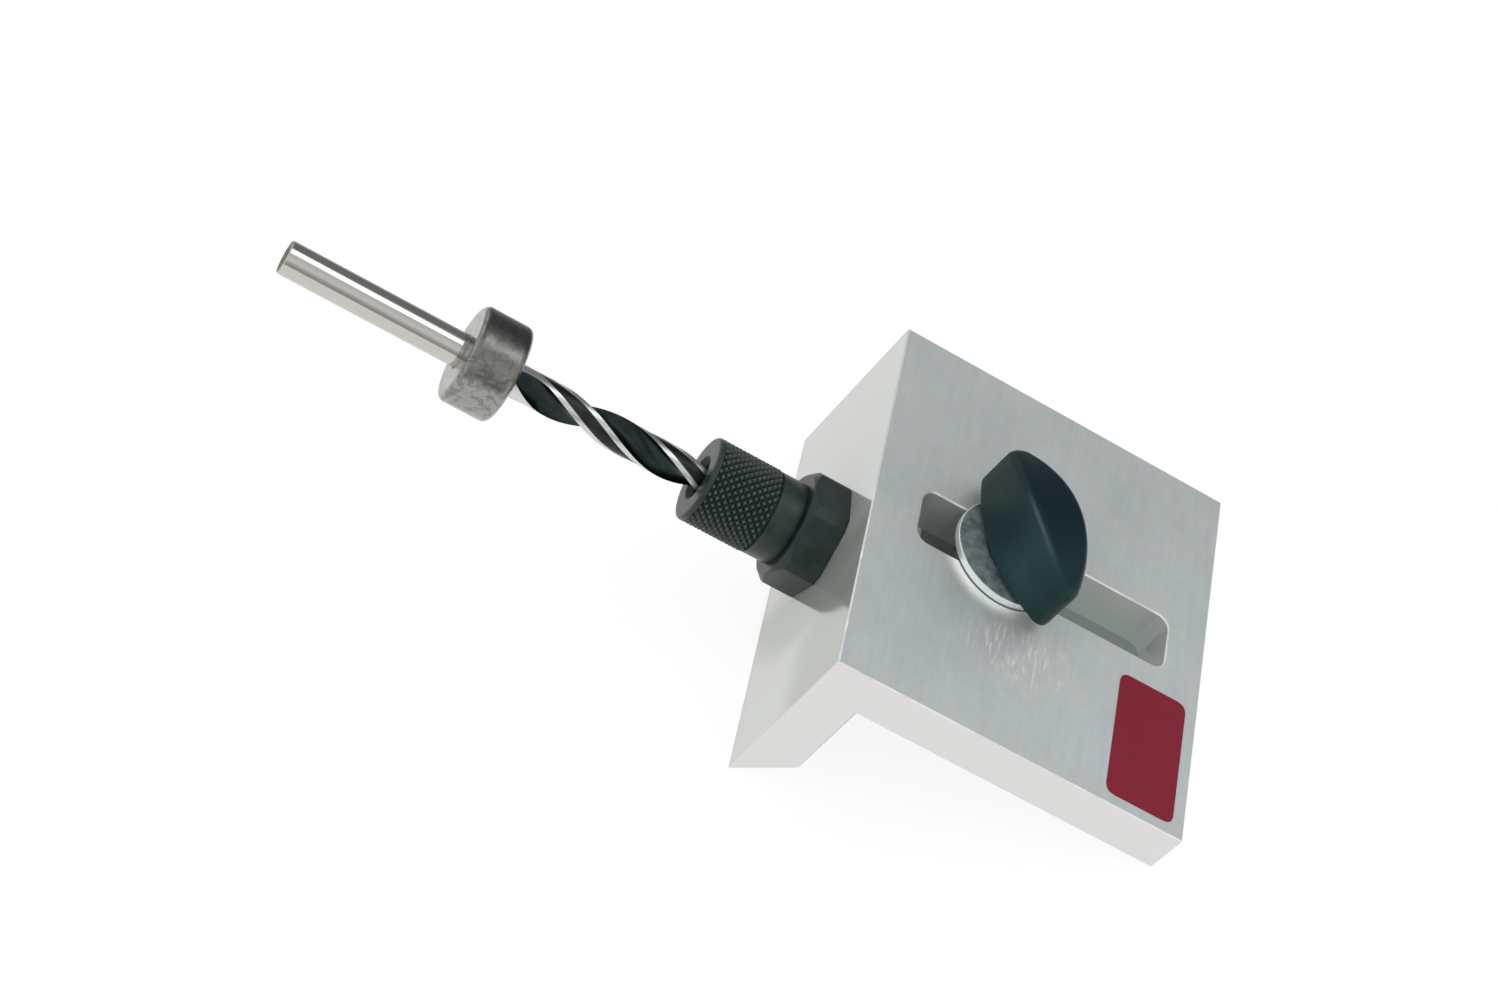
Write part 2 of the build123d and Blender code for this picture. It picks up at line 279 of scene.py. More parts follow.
@dataclass(frozen=True)
class Finish:
    """A surface finish: its name, colour and gloss."""

    name: str
    color: Rgb
    roughness: float
    metallic: float = 1.0

    def material(self) -> bpy.types.Material:
        """The Blender material, built once for each name.

        Returns:
            The material.
        """
        found = bpy.data.materials.get(self.name)
        if found:
            return found
        made = bpy.data.materials.new(self.name)
        made.use_nodes = True
        made.node_tree.nodes.clear()
        nodes = Nodes(made.node_tree)
        shader = nodes.add(
            "ShaderNodeBsdfPrincipled",
            {"Base Color": (*self.color, 1), "Roughness": self.roughness, "Metallic": self.metallic},
        )
        nodes.add("ShaderNodeOutputMaterial", {"Surface": shader.outputs[0]})
        self.dress(nodes, shader)
        made.diffuse_color = (*self.color, 1)
        made.metallic, made.roughness = self.metallic, self.roughness
        return made

    def dress(self, nodes: Nodes, shader: Node) -> None:
        """Adds the pattern of the finish to the shader."""

    def shade(self, share: float) -> Rgb:
        """The finish's colour times a share."""
        return tuple(share * c for c in self.color)

    def gloss(self, nodes: Nodes, shader: Node, value: Any, less: float, more: float) -> None:
        """Lets the roughness follow a 0 to 1 value, from so much less to so much more than its own."""
        nodes.feed(shader, "Roughness", nodes.spread(value, self.roughness - less, self.roughness + more))

    @staticmethod
    def bump(nodes: Nodes, shader: Node, height: Any, depth: float, strength: float) -> None:
        """Bumps the shader by a height pattern of the given depth in millimetres."""
        node = nodes.add("ShaderNodeBump", {"Height": height, "Distance": depth * MM, "Strength": strength})
        nodes.feed(shader, "Normal", node.outputs[0])


@dataclass(frozen=True)
class BrushedAluminium(Finish):
    """Bare aluminium, brushed across its width, with a smoother short flange and clean ends, and with painted
    light and shade: a lighter front, bright edges, a halo and a contact shadow round the washer, darker slot walls
    and a shaded short flange.
    """

    dark: Rgb = (0.665, 0.71, 0.705)
    # Painted light: direction, reach and gain of the brightening towards the front.
    painted_light_way: Point = (0.6, -0.8, 0.0)
    painted_light_reach: Pair = (8.0, 46.0)
    painted_light_gain: float = 1.09
    end_color: Rgb = (0.81, 0.805, 0.80)
    # Painted shade: darker colour of the walls inside the slot.
    wall_shade_color: Rgb = (0.70, 0.74, 0.71)
    wall_reach: float = 7.0
    # Painted highlight: colour of the bright rounded edges, and where it fades along the corner.
    edge_highlight_color: Rgb = (0.98, 0.99, 0.98)
    edge_facing: Pair = (0.3, 0.93)
    corner_reach: float = 1.0
    corner_highlight_fade: Pair = (6.0, -14.0)
    short_color: Rgb = (0.665, 0.685, 0.66)
    shade_color: Rgb = (0.50, 0.525, 0.485)
    nut_shade: tuple[Pair, Pair] = ((25.0, 18.0), (-2.0, -9.0))
    corner_shade: tuple[Pair, Pair] = ((-22.0, -12.0), (-8.0, -18.0))
    short_roughness: float = 0.12
    short_metallic: float = 0.45
    mark_metallic: float = 0.2
    # Painted light: colour and place of the bright halo round the washer; the scratches share the colour.
    painted_halo_and_scratch_color: Rgb = (0.97, 1.0, 0.99)
    clamp_centre: float = 26.0
    halo_from: float = 10.6
    halo_to: float = 13.6
    halo_side: Point = (-0.57, -0.82, 0.0)
    # Painted shade: colour and place of the thin contact shadow round the washer.
    contact_shadow_color: Rgb = (0.22, 0.25, 0.25)
    contact_shadow_from: float = 9.5
    contact_shadow_gap: float = 0.12
    scraped_centre: Point = (31.0, -19.0, 0.0)
    scraped_size: Point = (15.0, 9.0, 3.0)

    def dress(self, nodes: Nodes, shader: Node) -> None:
        """Brushed lines, cloudy tone, cleaner ends, painted highlights on the edges, scratches in front of the
        washer, and painted light and shade round the washer, on the slot walls and on the short flange.

        Args:
            nodes: the material's nodes.
            shader: takes the pattern.
        """
        normal = nodes.split(nodes.jig_normal())
        at_end = nodes.math("GREATER_THAN", nodes.math("ABSOLUTE", normal[1]), 0.7)
        at_short = nodes.math("LESS_THAN", normal[0], -0.95)
        # Painted highlight on the rounded edges of the outer face.
        at_edge_highlight = self.painted_edge_highlight(nodes, normal[2])
        lines = nodes.noise(nodes.jig_place((4.0, 0.07, 4.0)), 1.0, 5.0, 0.62)
        scratches = nodes.noise(nodes.jig_place((1.5, 0.05, 1.5)), 1.0, 3.0, 0.6)
        # Painted light: the halo round the washer, joined with the real scratches in front of it, on the outer
        # face only.
        painted_halo_and_scratches = nodes.math("MAXIMUM", self.painted_halo_and_scratches(nodes), self.scraped(nodes))
        painted_halo_and_scratches = nodes.times(painted_halo_and_scratches, nodes.math("GREATER_THAN", normal[2], 0.9))
        bare = self.brushed(nodes, lines, scratches)
        # Painted shade: a thin dark contact line is put round the washer.
        worn = nodes.mix(self.painted_contact_shadow(nodes), nodes.mix(painted_halo_and_scratches, bare, self.painted_halo_and_scratch_color), self.contact_shadow_color)
        # Painted shade from the nut and bush on the short flange.
        short = nodes.mix(self.shaded(nodes), self.short_color, self.shade_color)
        polished = nodes.mix(at_short, worn, short)
        across = nodes.math("ABSOLUTE", nodes.split(nodes.jig_place())[1])
        # Painted shade: the slot's inner walls are darker than the outer ends.
        sides = nodes.mix(nodes.math("LESS_THAN", across, self.wall_reach), self.end_color, self.wall_shade_color)
        nodes.feed(shader, "Base Color", nodes.mix(at_edge_highlight, nodes.mix(at_end, polished, sides), self.edge_highlight_color))
        rough = nodes.spread(scratches, self.roughness - 0.05, self.roughness + 0.07)
        nodes.feed(shader, "Roughness", nodes.blend(at_short, rough, self.short_roughness))
        # Less metallic on the painted halo, the scratches and the painted edge highlights.
        metal = nodes.blend(nodes.math("MAXIMUM", painted_halo_and_scratches, at_edge_highlight), self.metallic, self.mark_metallic)
        nodes.feed(shader, "Metallic", nodes.blend(at_short, metal, self.short_metallic))
        smooth = nodes.math("MAXIMUM", nodes.times(at_end, 0.7), nodes.times(at_short, 0.85))
        self.bump(nodes, shader, nodes.times(lines, nodes.math("SUBTRACT", 1.0, smooth)), 0.015, 0.5)

    def brushed(self, nodes: Nodes, lines: Socket, scratches: Socket) -> Socket:
        """Colour of the brushed face, with painted light that makes it lighter towards the front.

        Args:
            nodes: the material's nodes.
            lines: pattern of the fine brushed lines.
            scratches: pattern of the coarser ones.

        Returns:
            The colour.
        """
        cloud = nodes.noise(nodes.jig_place(), 0.06, 4.0, 0.6)
        mottle = nodes.noise(nodes.jig_place(), 0.45, 2.0, 0.5)
        tone = nodes.weighed((cloud, 0.45), (lines, 0.2), (scratches, 0.2), (mottle, 0.15))
        flat = nodes.mix(nodes.ramp(tone, [(0.40, 0.0), (0.58, 1.0)]), self.dark, self.color)
        # Painted light: the face gets lighter towards the front.
        forward = nodes.dot(nodes.jig_place(), self.painted_light_way)
        return nodes.scaled(flat, nodes.line(forward, *self.painted_light_reach, 1.0, self.painted_light_gain))

    def painted_edge_highlight(self, nodes: Nodes, facing: Socket) -> Socket:
        """1 where a painted highlight brightens a deburred edge of the outer face, broken up along its length.

        Args:
            nodes: the material's nodes.
            facing: how much the surface faces out of the outer face.

        Returns:
            The amount.
        """
        low, high = self.edge_facing
        rounded_off = nodes.times(nodes.math("LESS_THAN", facing, high), nodes.math("GREATER_THAN", facing, low))
        place = nodes.split(nodes.jig_place())
        broken = nodes.ramp(nodes.noise(nodes.jig_place(), 0.22, 2.0, 0.6), [(0.42, 0.1), (0.62, 0.9)])
        at_corner = nodes.math("LESS_THAN", place[0], self.corner_reach)
        amount = nodes.blend(at_corner, 0.8, nodes.line(place[1], *self.corner_highlight_fade))
        return nodes.times(rounded_off, nodes.times(broken, amount))

    def from_clamp(self, nodes: Nodes) -> tuple[Socket, Socket]:
        """Offset from the clamp's axis across the outer face.

        Args:
            nodes: the material's nodes.

        Returns:
            The offset and its length.
        """
        offset = nodes.vector_math("SUBTRACT", nodes.jig_place(), (self.clamp_centre, 0.0, 0.0))
        flat = nodes.vector_math("MULTIPLY", offset, (1.0, 1.0, 0.0))
        return flat, nodes.length(flat)

    def shaded(self, nodes: Nodes) -> Socket:
        """1 where painted shade darkens the short flange, in front of the nut and along the corner.

        Args:
            nodes: the material's nodes.

        Returns:
            The amount.
        """
        place = nodes.split(nodes.jig_place())
        (near, ahead), (deep, front) = self.nut_shade, self.corner_shade
        at_nut = nodes.times(nodes.step(nodes.from_drill(), *near), nodes.step(place[1], *ahead))
        at_corner = nodes.times(nodes.step(place[2], *deep), nodes.step(place[1], *front))
        return nodes.math("MAXIMUM", at_nut, at_corner)

    def painted_contact_shadow(self, nodes: Nodes) -> Socket:
        """1 on the thin painted contact shadow round the washer.

        Args:
            nodes: the material's nodes.

        Returns:
            The amount.
        """
        away = self.from_clamp(nodes)[1]
        inside = nodes.math("LESS_THAN", away, self.halo_from - self.contact_shadow_gap)
        return nodes.times(inside, nodes.math("GREATER_THAN", away, self.contact_shadow_from))

    def painted_halo_and_scratches(self, nodes: Nodes) -> Socket:
        """1 on the painted halo of light round the washer, fading to 0 around it and to its far side.

        Args:
            nodes: the material's nodes.

        Returns:
            The amount.
        """
        flat, away = self.from_clamp(nodes)
        toward = nodes.math("DIVIDE", nodes.dot(flat, self.halo_side), away)
        return nodes.times(nodes.step(away, self.halo_to, self.halo_from), nodes.line(toward, 0.15, 0.85))

    def scraped(self, nodes: Nodes) -> Socket:
        """1 on the short bright scratches in front of the washer, 0 outside them.

        Args:
            nodes: the material's nodes.

        Returns:
            The amount.
        """
        offset = nodes.vector_math("SUBTRACT", nodes.jig_place(), self.scraped_centre)
        away = nodes.length(nodes.vector_math("DIVIDE", offset, self.scraped_size))
        flecks = nodes.noise(nodes.jig_place((1.7, 0.32, 1.0)), 1.0, 3.0, 0.6)
        return nodes.times(nodes.line(away, 1.0, 0.3), nodes.ramp(flecks, [(0.50, 0.0), (0.70, 0.75)]))


@dataclass(frozen=True)
class BlackOxide(Finish):
    """Blackened steel with a faint grain, worn lighter in clouds or on its crests; on the crests the lighter
    colour is also a painted highlight.
    """

    worn: Rgb = (0.075, 0.095, 0.092)
    crests: Pair | None = None

    def dress(self, nodes: Nodes, shader: Node) -> None:
        """Cloudy blackening with a fine grain.

        Args:
            nodes: the material's nodes.
            shader: takes the pattern.
        """
        cloud = nodes.noise(nodes.jig_place(), 0.35, 4.0, 0.6)
        grain = nodes.noise(nodes.jig_place(), 6.0, 2.0, 0.6)
        if self.crests:
            # Crests: real wear together with a painted highlight.
            worn = self.crest_wear_and_highlight(nodes, self.crests)
        else:
            worn = nodes.ramp(nodes.weighed((cloud, 0.8), (grain, 0.2)), [(0.42, 0.0), (0.72, 1.0)])
        nodes.feed(shader, "Base Color", nodes.mix(worn, self.color, self.worn))
        self.gloss(nodes, shader, cloud, 0.06, 0.08)
        self.bump(nodes, shader, grain, 0.01, 0.3)

    def crest_wear_and_highlight(self, nodes: Nodes, reach: Pair) -> Socket:
        """1 on crests worn lighter by hands and lit by a painted highlight, 0 in the grooves between them.

        Args:
            nodes: the material's nodes.
            reach: distance from the drill's axis of the grooves and of the crests.

        Returns:
            The amount of wear and painted highlight.
        """
        height = nodes.math("POWER", nodes.line(nodes.from_drill(), *reach), 1.5)
        uneven = nodes.ramp(nodes.noise(nodes.jig_place(), 0.8, 3.0, 0.6), [(0.36, 0.45), (0.62, 1.0)])
        return nodes.times(height, uneven)


@dataclass(frozen=True)
class GroundSteel(Finish):
    """Steel ground bright round its axis."""

    def dress(self, nodes: Nodes, shader: Node) -> None:
        """Hair-fine grinding rings and a faint cloud in the gloss.

        Args:
            nodes: the material's nodes.
            shader: takes the pattern.
        """
        rings = nodes.noise(nodes.jig_place((9.0, 0.6, 0.6)), 1.0, 3.0, 0.6)
        streaks = nodes.noise(nodes.jig_place((0.05, 3.0, 3.0)), 1.0, 2.0, 0.5)
        tone = nodes.weighed((rings, 0.6), (streaks, 0.4))
        nodes.feed(shader, "Base Color", nodes.ramp(tone, [(0.3, self.shade(0.86)), (0.7, self.color)]))
        self.gloss(nodes, shader, rings, 0.03, 0.05)


@dataclass(frozen=True)
class TumbledSteel(Finish):
    """Grey steel with the wavy, stained skin that tumbling leaves."""

    stain: Rgb = (0.17, 0.168, 0.155)
    # Painted shade: how much, and where, the upper part and one upper side are darkened.
    painted_top_shade: float = 0.64
    painted_top_shade_reach: Pair = (-14.6, -11.4)
    painted_side_shade: float = 0.60
    painted_shade_way: Point = (0.0, 0.714, 0.70)
    painted_side_shade_reach: Pair = (3.3, 5.0)
    bend: float = 2.6
    bend_lift: float = 1.8

    def dress(self, nodes: Nodes, shader: Node) -> None:
        """Wavy stains and painted shade that darkens the top, with gloss and height that follow them.

        Args:
            nodes: the material's nodes.
            shader: takes the pattern.
        """
        given = {"Vector": nodes.jig_place(), "Scale": 0.5, "Detail": 2.0}
        bend = nodes.add("ShaderNodeTexNoise", given).outputs[1]
        place = nodes.vector_math("ADD", nodes.jig_place(), nodes.vector_math("MULTIPLY", bend, (self.bend,) * 3))
        waves = nodes.noise(place, 0.32, 3.0, 0.5)
        fine = nodes.noise(nodes.jig_place(), 3.0, 3.0, 0.6)
        stain = nodes.ramp(nodes.math("PINGPONG", nodes.times(waves, 4.0), 0.5), [(0.06, 1.0), (0.24, 0.0)])
        patch = nodes.ramp(nodes.noise(nodes.jig_place(), 0.16, 1.0, 0.5), [(0.40, 0.55), (0.52, 1.0)])
        amount = nodes.times(nodes.times(stain, patch), nodes.ramp(fine, [(0.35, 0.4), (0.65, 1.0)]))
        stained = nodes.mix(amount, self.color, self.stain)
        turned = nodes.math("LESS_THAN", nodes.math("ABSOLUTE", nodes.split(nodes.jig_normal())[0]), 0.6)
        # Painted shade: the collar's upper part and one upper side are darkened.
        high = nodes.line(nodes.split(nodes.jig_place())[2], *self.painted_top_shade_reach)
        painted_top_shade = nodes.times(nodes.times(high, turned), nodes.ramp(fine, [(0.3, 0.8), (0.7, 1.0)]))
        upward = nodes.dot(nodes.vector_math("SUBTRACT", place, (0.0, 0.0, -JIG.axis_depth)), self.painted_shade_way)
        painted_side_shade = nodes.times(nodes.step(upward, *(v + self.bend_lift for v in self.painted_side_shade_reach)), turned)
        dim = nodes.times(nodes.spread(painted_top_shade, 1.0, self.painted_top_shade), nodes.spread(painted_side_shade, 1.0, self.painted_side_shade))
        nodes.feed(shader, "Base Color", nodes.scaled(stained, dim))
        rough = nodes.spread(waves, self.roughness - 0.08, self.roughness + 0.10)
        nodes.feed(shader, "Roughness", nodes.math("ADD", rough, nodes.times(painted_side_shade, 0.08)))
        self.bump(nodes, shader, nodes.math("ADD", waves, nodes.times(fine, 0.3)), 0.05, 0.35)


@dataclass(frozen=True)
class ZincPlate(Finish):
    """Zinc plate with its spangled, blue-grey mottling and edges painted bright as a painted highlight."""

    dull: Rgb = (0.30, 0.38, 0.41)
    edge_highlight_color: Rgb = (0.95, 1.0, 0.99)

    def dress(self, nodes: Nodes, shader: Node) -> None:
        """Spangles and scratches on the flats, a painted highlight on the edges.

        Args:
            nodes: the material's nodes.
            shader: takes the pattern.
        """
        flat = nodes.math("GREATER_THAN", nodes.math("ABSOLUTE", nodes.split(nodes.jig_normal())[2]), 0.8)
        spangle = nodes.noise(nodes.jig_place(), 0.45, 5.0, 0.68)
        scratch = nodes.noise(nodes.jig_place((0.7, 5.0, 1.0)), 1.0, 3.0, 0.6)
        tone = nodes.weighed((spangle, 0.75), (scratch, 0.25))
        mottled = nodes.mix(nodes.ramp(tone, [(0.40, 0.0), (0.62, 1.0)]), self.dull, self.color)
        # Painted highlight: the rim and edges take the bright colour.
        nodes.feed(shader, "Base Color", nodes.mix(flat, self.edge_highlight_color, mottled))
        self.gloss(nodes, shader, spangle, 0.1, 0.12)
        self.bump(nodes, shader, tone, 0.02, 0.3)


@dataclass(frozen=True)
class SawnEnd(Finish):
    """Dark, rough sawn face."""

    light: Rgb = (0.32, 0.32, 0.31)

    def dress(self, nodes: Nodes, shader: Node) -> None:
        """Coarse light and dark spots.

        Args:
            nodes: the material's nodes.
            shader: takes the pattern.
        """
        spots = nodes.noise(nodes.jig_place(), 2.0, 3.0, 0.7)
        lit = nodes.ramp(spots, [(0.47, 0.0), (0.57, 1.0)])
        nodes.feed(shader, "Base Color", nodes.mix(lit, self.color, self.light))
        self.bump(nodes, shader, spots, 0.1, 0.7)


@dataclass(frozen=True)
class MouldedPlastic(Finish):
    """Matt black plastic with a spark-eroded skin, with painted shade that darkens its crown and a painted
    highlight along the ridge.
    """

    # Painted shade: colour of the darker crown. Painted highlight: colour along the ridge.
    crown: Rgb = (0.004, 0.014, 0.019)
    ridge: Rgb = (0.062, 0.088, 0.094)
    centre: Point = (26.0, 0.0, 0.0)
    long_way: Point = (0.5, -0.866, 0.0)
    half_length: float = 14.5
    painted_light_along: Stops = ((0.0, 0.17), (0.5, 0.5), (0.72, 0.74), (0.86, 0.55), (1.0, 0.38))
    ridge_facing: Stops = ((0.42, 0.0), (0.62, 1.0), (0.74, 1.0), (0.9, 0.0))
    ridge_along: Stops = ((0.38, 0.0), (0.5, 0.8), (0.62, 1.0), (0.72, 0.6), (0.82, 0.0))

    def dress(self, nodes: Nodes, shader: Node) -> None:
        """Very fine grain in height and gloss, with painted light that changes the tone along the grip.

        Args:
            nodes: the material's nodes.
            shader: takes the pattern.
        """
        grain = nodes.noise(nodes.jig_place(), 9.0, 2.0, 0.6)
        cloud = nodes.noise(nodes.jig_place(), 0.12, 2.0, 0.5)
        tint = nodes.ramp(cloud, [(0.35, self.shade(0.85)), (0.7, self.shade(1.2))])
        facing = nodes.split(nodes.jig_normal())[2]
        along = nodes.dot(nodes.vector_math("SUBTRACT", nodes.jig_place(), self.centre), self.long_way)
        share = nodes.line(along, -self.half_length, self.half_length)
        # Painted light: the tone rises and falls along the grip.
        toned = nodes.scaled(tint, nodes.times(nodes.ramp(share, self.painted_light_along), 2.0))
        # Painted highlight along the ridge, strongest near the grip's middle; painted shade on the crown.
        painted_ridge_highlight = nodes.times(nodes.ramp(facing, self.ridge_facing), nodes.ramp(share, self.ridge_along))
        crowned = nodes.mix(nodes.ramp(facing, [(0.70, 0.0), (0.97, 1.0)]), toned, self.crown)
        nodes.feed(shader, "Base Color", nodes.mix(painted_ridge_highlight, crowned, self.ridge))
        shader.inputs["Specular IOR Level"].default_value = 0.24
        shader.inputs["Specular Tint"].default_value = (0.5, 0.92, 1.0, 1.0)
        self.gloss(nodes, shader, grain, 0.04, 0.06)
        self.bump(nodes, shader, grain, 0.012, 0.25)


@dataclass(frozen=True)
class PrintedFilm(Finish):
    """Coloured adhesive film with a satin face."""

    def dress(self, nodes: Nodes, shader: Node) -> None:
        """Slight orange peel.

        Args:
            nodes: the material's nodes.
            shader: takes the pattern.
        """
        peel = nodes.noise(nodes.jig_place(), 1.6, 2.0, 0.5)
        nodes.feed(shader, "Base Color", nodes.ramp(peel, [(0.3, self.shade(0.94)), (0.7, self.shade(1.05))]))
        shader.inputs["Specular IOR Level"].default_value = 0.2
        self.bump(nodes, shader, peel, 0.01, 0.2)


ALUMINIUM = BrushedAluminium("brushed_aluminium", (0.745, 0.79, 0.785), 0.32, 0.55)
BLACK_STEEL = BlackOxide("black_oxide_steel", (0.008, 0.023, 0.020), 0.34, 0.0, worn=(0.022, 0.044, 0.040))
SHANK_STEEL = GroundSteel("ground_shank", (0.65, 0.63, 0.595), 0.085)
LAND_STEEL = GroundSteel("ground_land", (0.74, 0.76, 0.76), 0.26)
NUT_STEEL = BlackOxide("black_nut", (0.004, 0.017, 0.016), 0.36, 0.0, worn=(0.013, 0.036, 0.035))
# Painted shade: darker black for the bore and the knurl's grooves.
RECESS_SHADE_STEEL = BlackOxide("black_recess_shade", (0.003, 0.008, 0.007), 0.5, 0.0, worn=(0.008, 0.016, 0.014))
FLUTE_STEEL = BlackOxide("black_flute", (0.022, 0.033, 0.033), 0.26, worn=(0.036, 0.054, 0.054))
RELIEF_STEEL = BlackOxide("black_relief", (0.033, 0.036, 0.037), 0.34, worn=(0.055, 0.056, 0.057))
KNURL_STEEL = BlackOxide("knurled_black", (0.013, 0.027, 0.025), 0.25, 0.0, worn=(0.096, 0.122, 0.115),
                         crests=(7.25, 7.63))
SAWN_STEEL = SawnEnd("sawn_end", (0.02, 0.02, 0.02), 0.6, 0.2)
COLLAR_STEEL = TumbledSteel("tumbled_collar", (0.36, 0.355, 0.34), 0.21, stain=(0.19, 0.19, 0.175))
ZINC = ZincPlate("zinc_plate", (0.47, 0.60, 0.62), 0.38, 0.6, dull=(0.20, 0.265, 0.275))
PLASTIC = MouldedPlastic("moulded_plastic", (0.015, 0.035, 0.036), 0.38, 0.0)
FILM = PrintedFilm("printed_film", (0.235, 0.011, 0.030), 0.45, 0.0)
PLATE_STEEL = ZincPlate("plate_steel", (0.43, 0.47, 0.43), 0.34, dull=(0.31, 0.345, 0.315),
                        edge_highlight_color=(0.54, 0.56, 0.55))


def add_object(name: str, data: bpy.types.ID) -> bpy.types.Object:
    """Makes an object at the origin and links it to the scene.

    Args:
        name: name of the object.
        data: its mesh, light or camera.

    Returns:
        The new object.
    """
    made = bpy.data.objects.new(name, data)
    bpy.context.scene.collection.objects.link(made)
    return made


def dress_node(node: str, finish: Finish) -> None:
    """Gives a carried-over node its finish."""
    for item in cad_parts[node].material_slots:
        item.material = finish.material()


@dataclass
class Form:
    """Vertices and faces of one piece, in jig millimetres."""

    vertices: list[Point] = field(default_factory=list)
    faces: list[tuple[int, ...]] = field(default_factory=list)
    slots: list[int] = field(default_factory=list)

    def ring(self, points: list[Point]) -> list[int]:
        """Adds vertices.

        Args:
            points: places of the vertices.

        Returns:
            Their numbers.
        """
        start = len(self.vertices)
        self.vertices.extend(points)
        return list(range(start, len(self.vertices)))

    def face(self, corners: tuple[int, ...], slot: int = 0) -> None:
        """Adds a face that takes the given material slot."""
        self.faces.append(corners)
        self.slots.append(slot)

    def bridge(self, a: list[int], b: list[int], slots: list[int] | None = None) -> None:
        """Joins two closed rings of equal length with quads.

        Args:
            a: first ring.
            b: second ring; faces point out when a to b follows the axis that the rings turn round.
            slots: material slot of each quad.
        """
        count = len(a)
        for i in range(count):
            j = (i + 1) % count
            self.face((a[i], a[j], b[j], b[i]), slots[i] if slots else 0)

    def fan(self, ring: list[int], tip: Point, flip: bool = False, slot: int = 0) -> None:
        """Closes a ring to one point.

        Args:
            ring: numbers of the ring's vertices.
            tip: the point.
            flip: turns the faces over.
            slot: material slot of the faces.
        """
        middle = self.ring([tip])[0]
        for i, corner in enumerate(ring):
            after = ring[(i + 1) % len(ring)]
            self.face((corner, middle, after) if flip else (corner, after, middle), slot)

    def build(self, name: str, finishes: list[Finish], smooth: float = 30.0) -> bpy.types.Object:
        """Makes the object at the origin of the row frame.

        Args:
            name: name of the piece.
            finishes: one finish for each material slot.
            smooth: edges bent by less than this many degrees look smooth.

        Returns:
            The new object, linked to the scene.
        """
        mesh = bpy.data.meshes.new(name)
        mesh.from_pydata([JIG.matrix() @ Vector(v) for v in self.vertices], [], self.faces)
        for finish in finishes:
            mesh.materials.append(finish.material())
        mesh.polygons.foreach_set("material_index", self.slots)
        mesh.polygons.foreach_set("use_smooth", [True] * len(mesh.polygons))
        mesh.set_sharp_from_angle(angle=math.radians(smooth))
        mesh.validate()
        return add_object(name, mesh)


@dataclass(frozen=True)
class Lathe:
    """Turns a closed outline round one of the jig's axes."""

    turned: Turned
    centre: Point
    segments: int = 160

    def place(self, along: float, radius: float, angle: float) -> Point:
        """A point of the turned body.

        Args:
            along: place along the axis.
            radius: distance from the axis.
            angle: turn round the axis, in radians.

        Returns:
            The point.
        """
        c, s = radius * math.cos(angle), radius * math.sin(angle)
        x, y, z = self.centre
        if self.turned is Turned.ALONG_DRILL:
            return (along, y + c, z + s)
        return (x + c, y + s, along)

    def rings(self, form: Form, outline: list[Pair]) -> list[list[int]]:
        """Adds one ring for each point of the outline."""
        angles = [math.tau * i / self.segments for i in range(self.segments)]
        return [form.ring([self.place(a, r, t) for t in angles]) for a, r in outline]

    def solid(self, form: Form, outline: list[Pair], slots: list[int] | None = None) -> None:
        """Adds a body of revolution.

        Args:
            form: gets the vertices and faces.
            outline: (along, radius) points of a closed loop; it runs forward on the outside.
            slots: material slot of each band, from the first point on.
        """
        rings = self.rings(form, outline)
        for i, (a, b) in enumerate(zip(rings, rings[1:] + rings[:1])):
            form.bridge(a, b, [slots[i]] * self.segments if slots else None)


def rounded(corner: Pair, before: Pair, after: Pair,
            radius: float, steps: int = 5) -> list[Pair]:
    """Points of an arc that rounds a corner of an outline.

    Args:
        corner: the sharp corner.
        before: the point that the outline comes from.
        after: the point that it goes to.
        radius: size of the round, measured along the sides.
        steps: number of pieces in the arc.

    Returns:
        The points, from the side before to the side after.
    """
    c, b, a = (Vector(p) for p in (corner, before, after))
    start, end = c + (b - c).normalized() * radius, c + (a - c).normalized() * radius
    points = []
    for i in range(steps + 1):
        t = i / steps
        points.append(tuple(start * (1 - t) ** 2 + c * 2 * t * (1 - t) + end * t * t))
    return points


def rounded_loop(corners: list[tuple[float, float, float]], steps: int = 5) -> list[Pair]:
    """A closed outline with its own round at each corner.

    Args:
        corners: (along, radius, round) of each corner; a round of 0 keeps it sharp.
        steps: number of pieces in each arc.

    Returns:
        The points of the loop.
    """
    loop = []
    for i, (x, y, radius) in enumerate(corners):
        before, after = corners[i - 1][:2], corners[(i + 1) % len(corners)][:2]
        loop += rounded((x, y), before, after, radius, steps) if radius else [(x, y)]
    return loop


@dataclass
class AngleBody:
    """Aluminium angle with its blank label."""

    label_place: Pair = (57.2, -23.5)
    label_length: float = 25.6
    label_width: float = 13.2
    label_round: float = 2.0
    label_thickness: float = 0.08
    label_edge: float = 0.7

    def label(self) -> bpy.types.Object:
        """A plain film with round corners, stuck on the long flange.

        Returns:
            The film.
        """
        half_x, half_y = self.label_width / 2, self.label_length / 2
        corners = [(-half_x, -half_y), (half_x, -half_y), (half_x, half_y), (-half_x, half_y)]
        outline = rounded_loop([(x, y, self.label_round) for x, y in corners], 8)
        x0, y0 = self.label_place
        form = Form()
        low = form.ring([(x0 + x, y0 + y, 0.0) for x, y in outline])
        edge = form.ring([(x0 + x, y0 + y, self.label_thickness * self.label_edge) for x, y in outline])
        shrink = 1 - self.label_thickness / half_x
        top = form.ring([(x0 + x * shrink, y0 + y * shrink, self.label_thickness) for x, y in outline])
        form.bridge(low, edge)
        form.bridge(edge, top)
        form.face(tuple(top))
        form.face(tuple(reversed(low)))
        return form.build("blank_label", [FILM])

    def build(self) -> None:
        """Dresses the angle and adds its label."""
        dress_node("angle_body", ALUMINIUM)
        label = self.label()
        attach(label, Body.JIG.value)
        LOG.info("angle body dressed, label %.1f x %.1f mm", self.label_width, self.label_length)


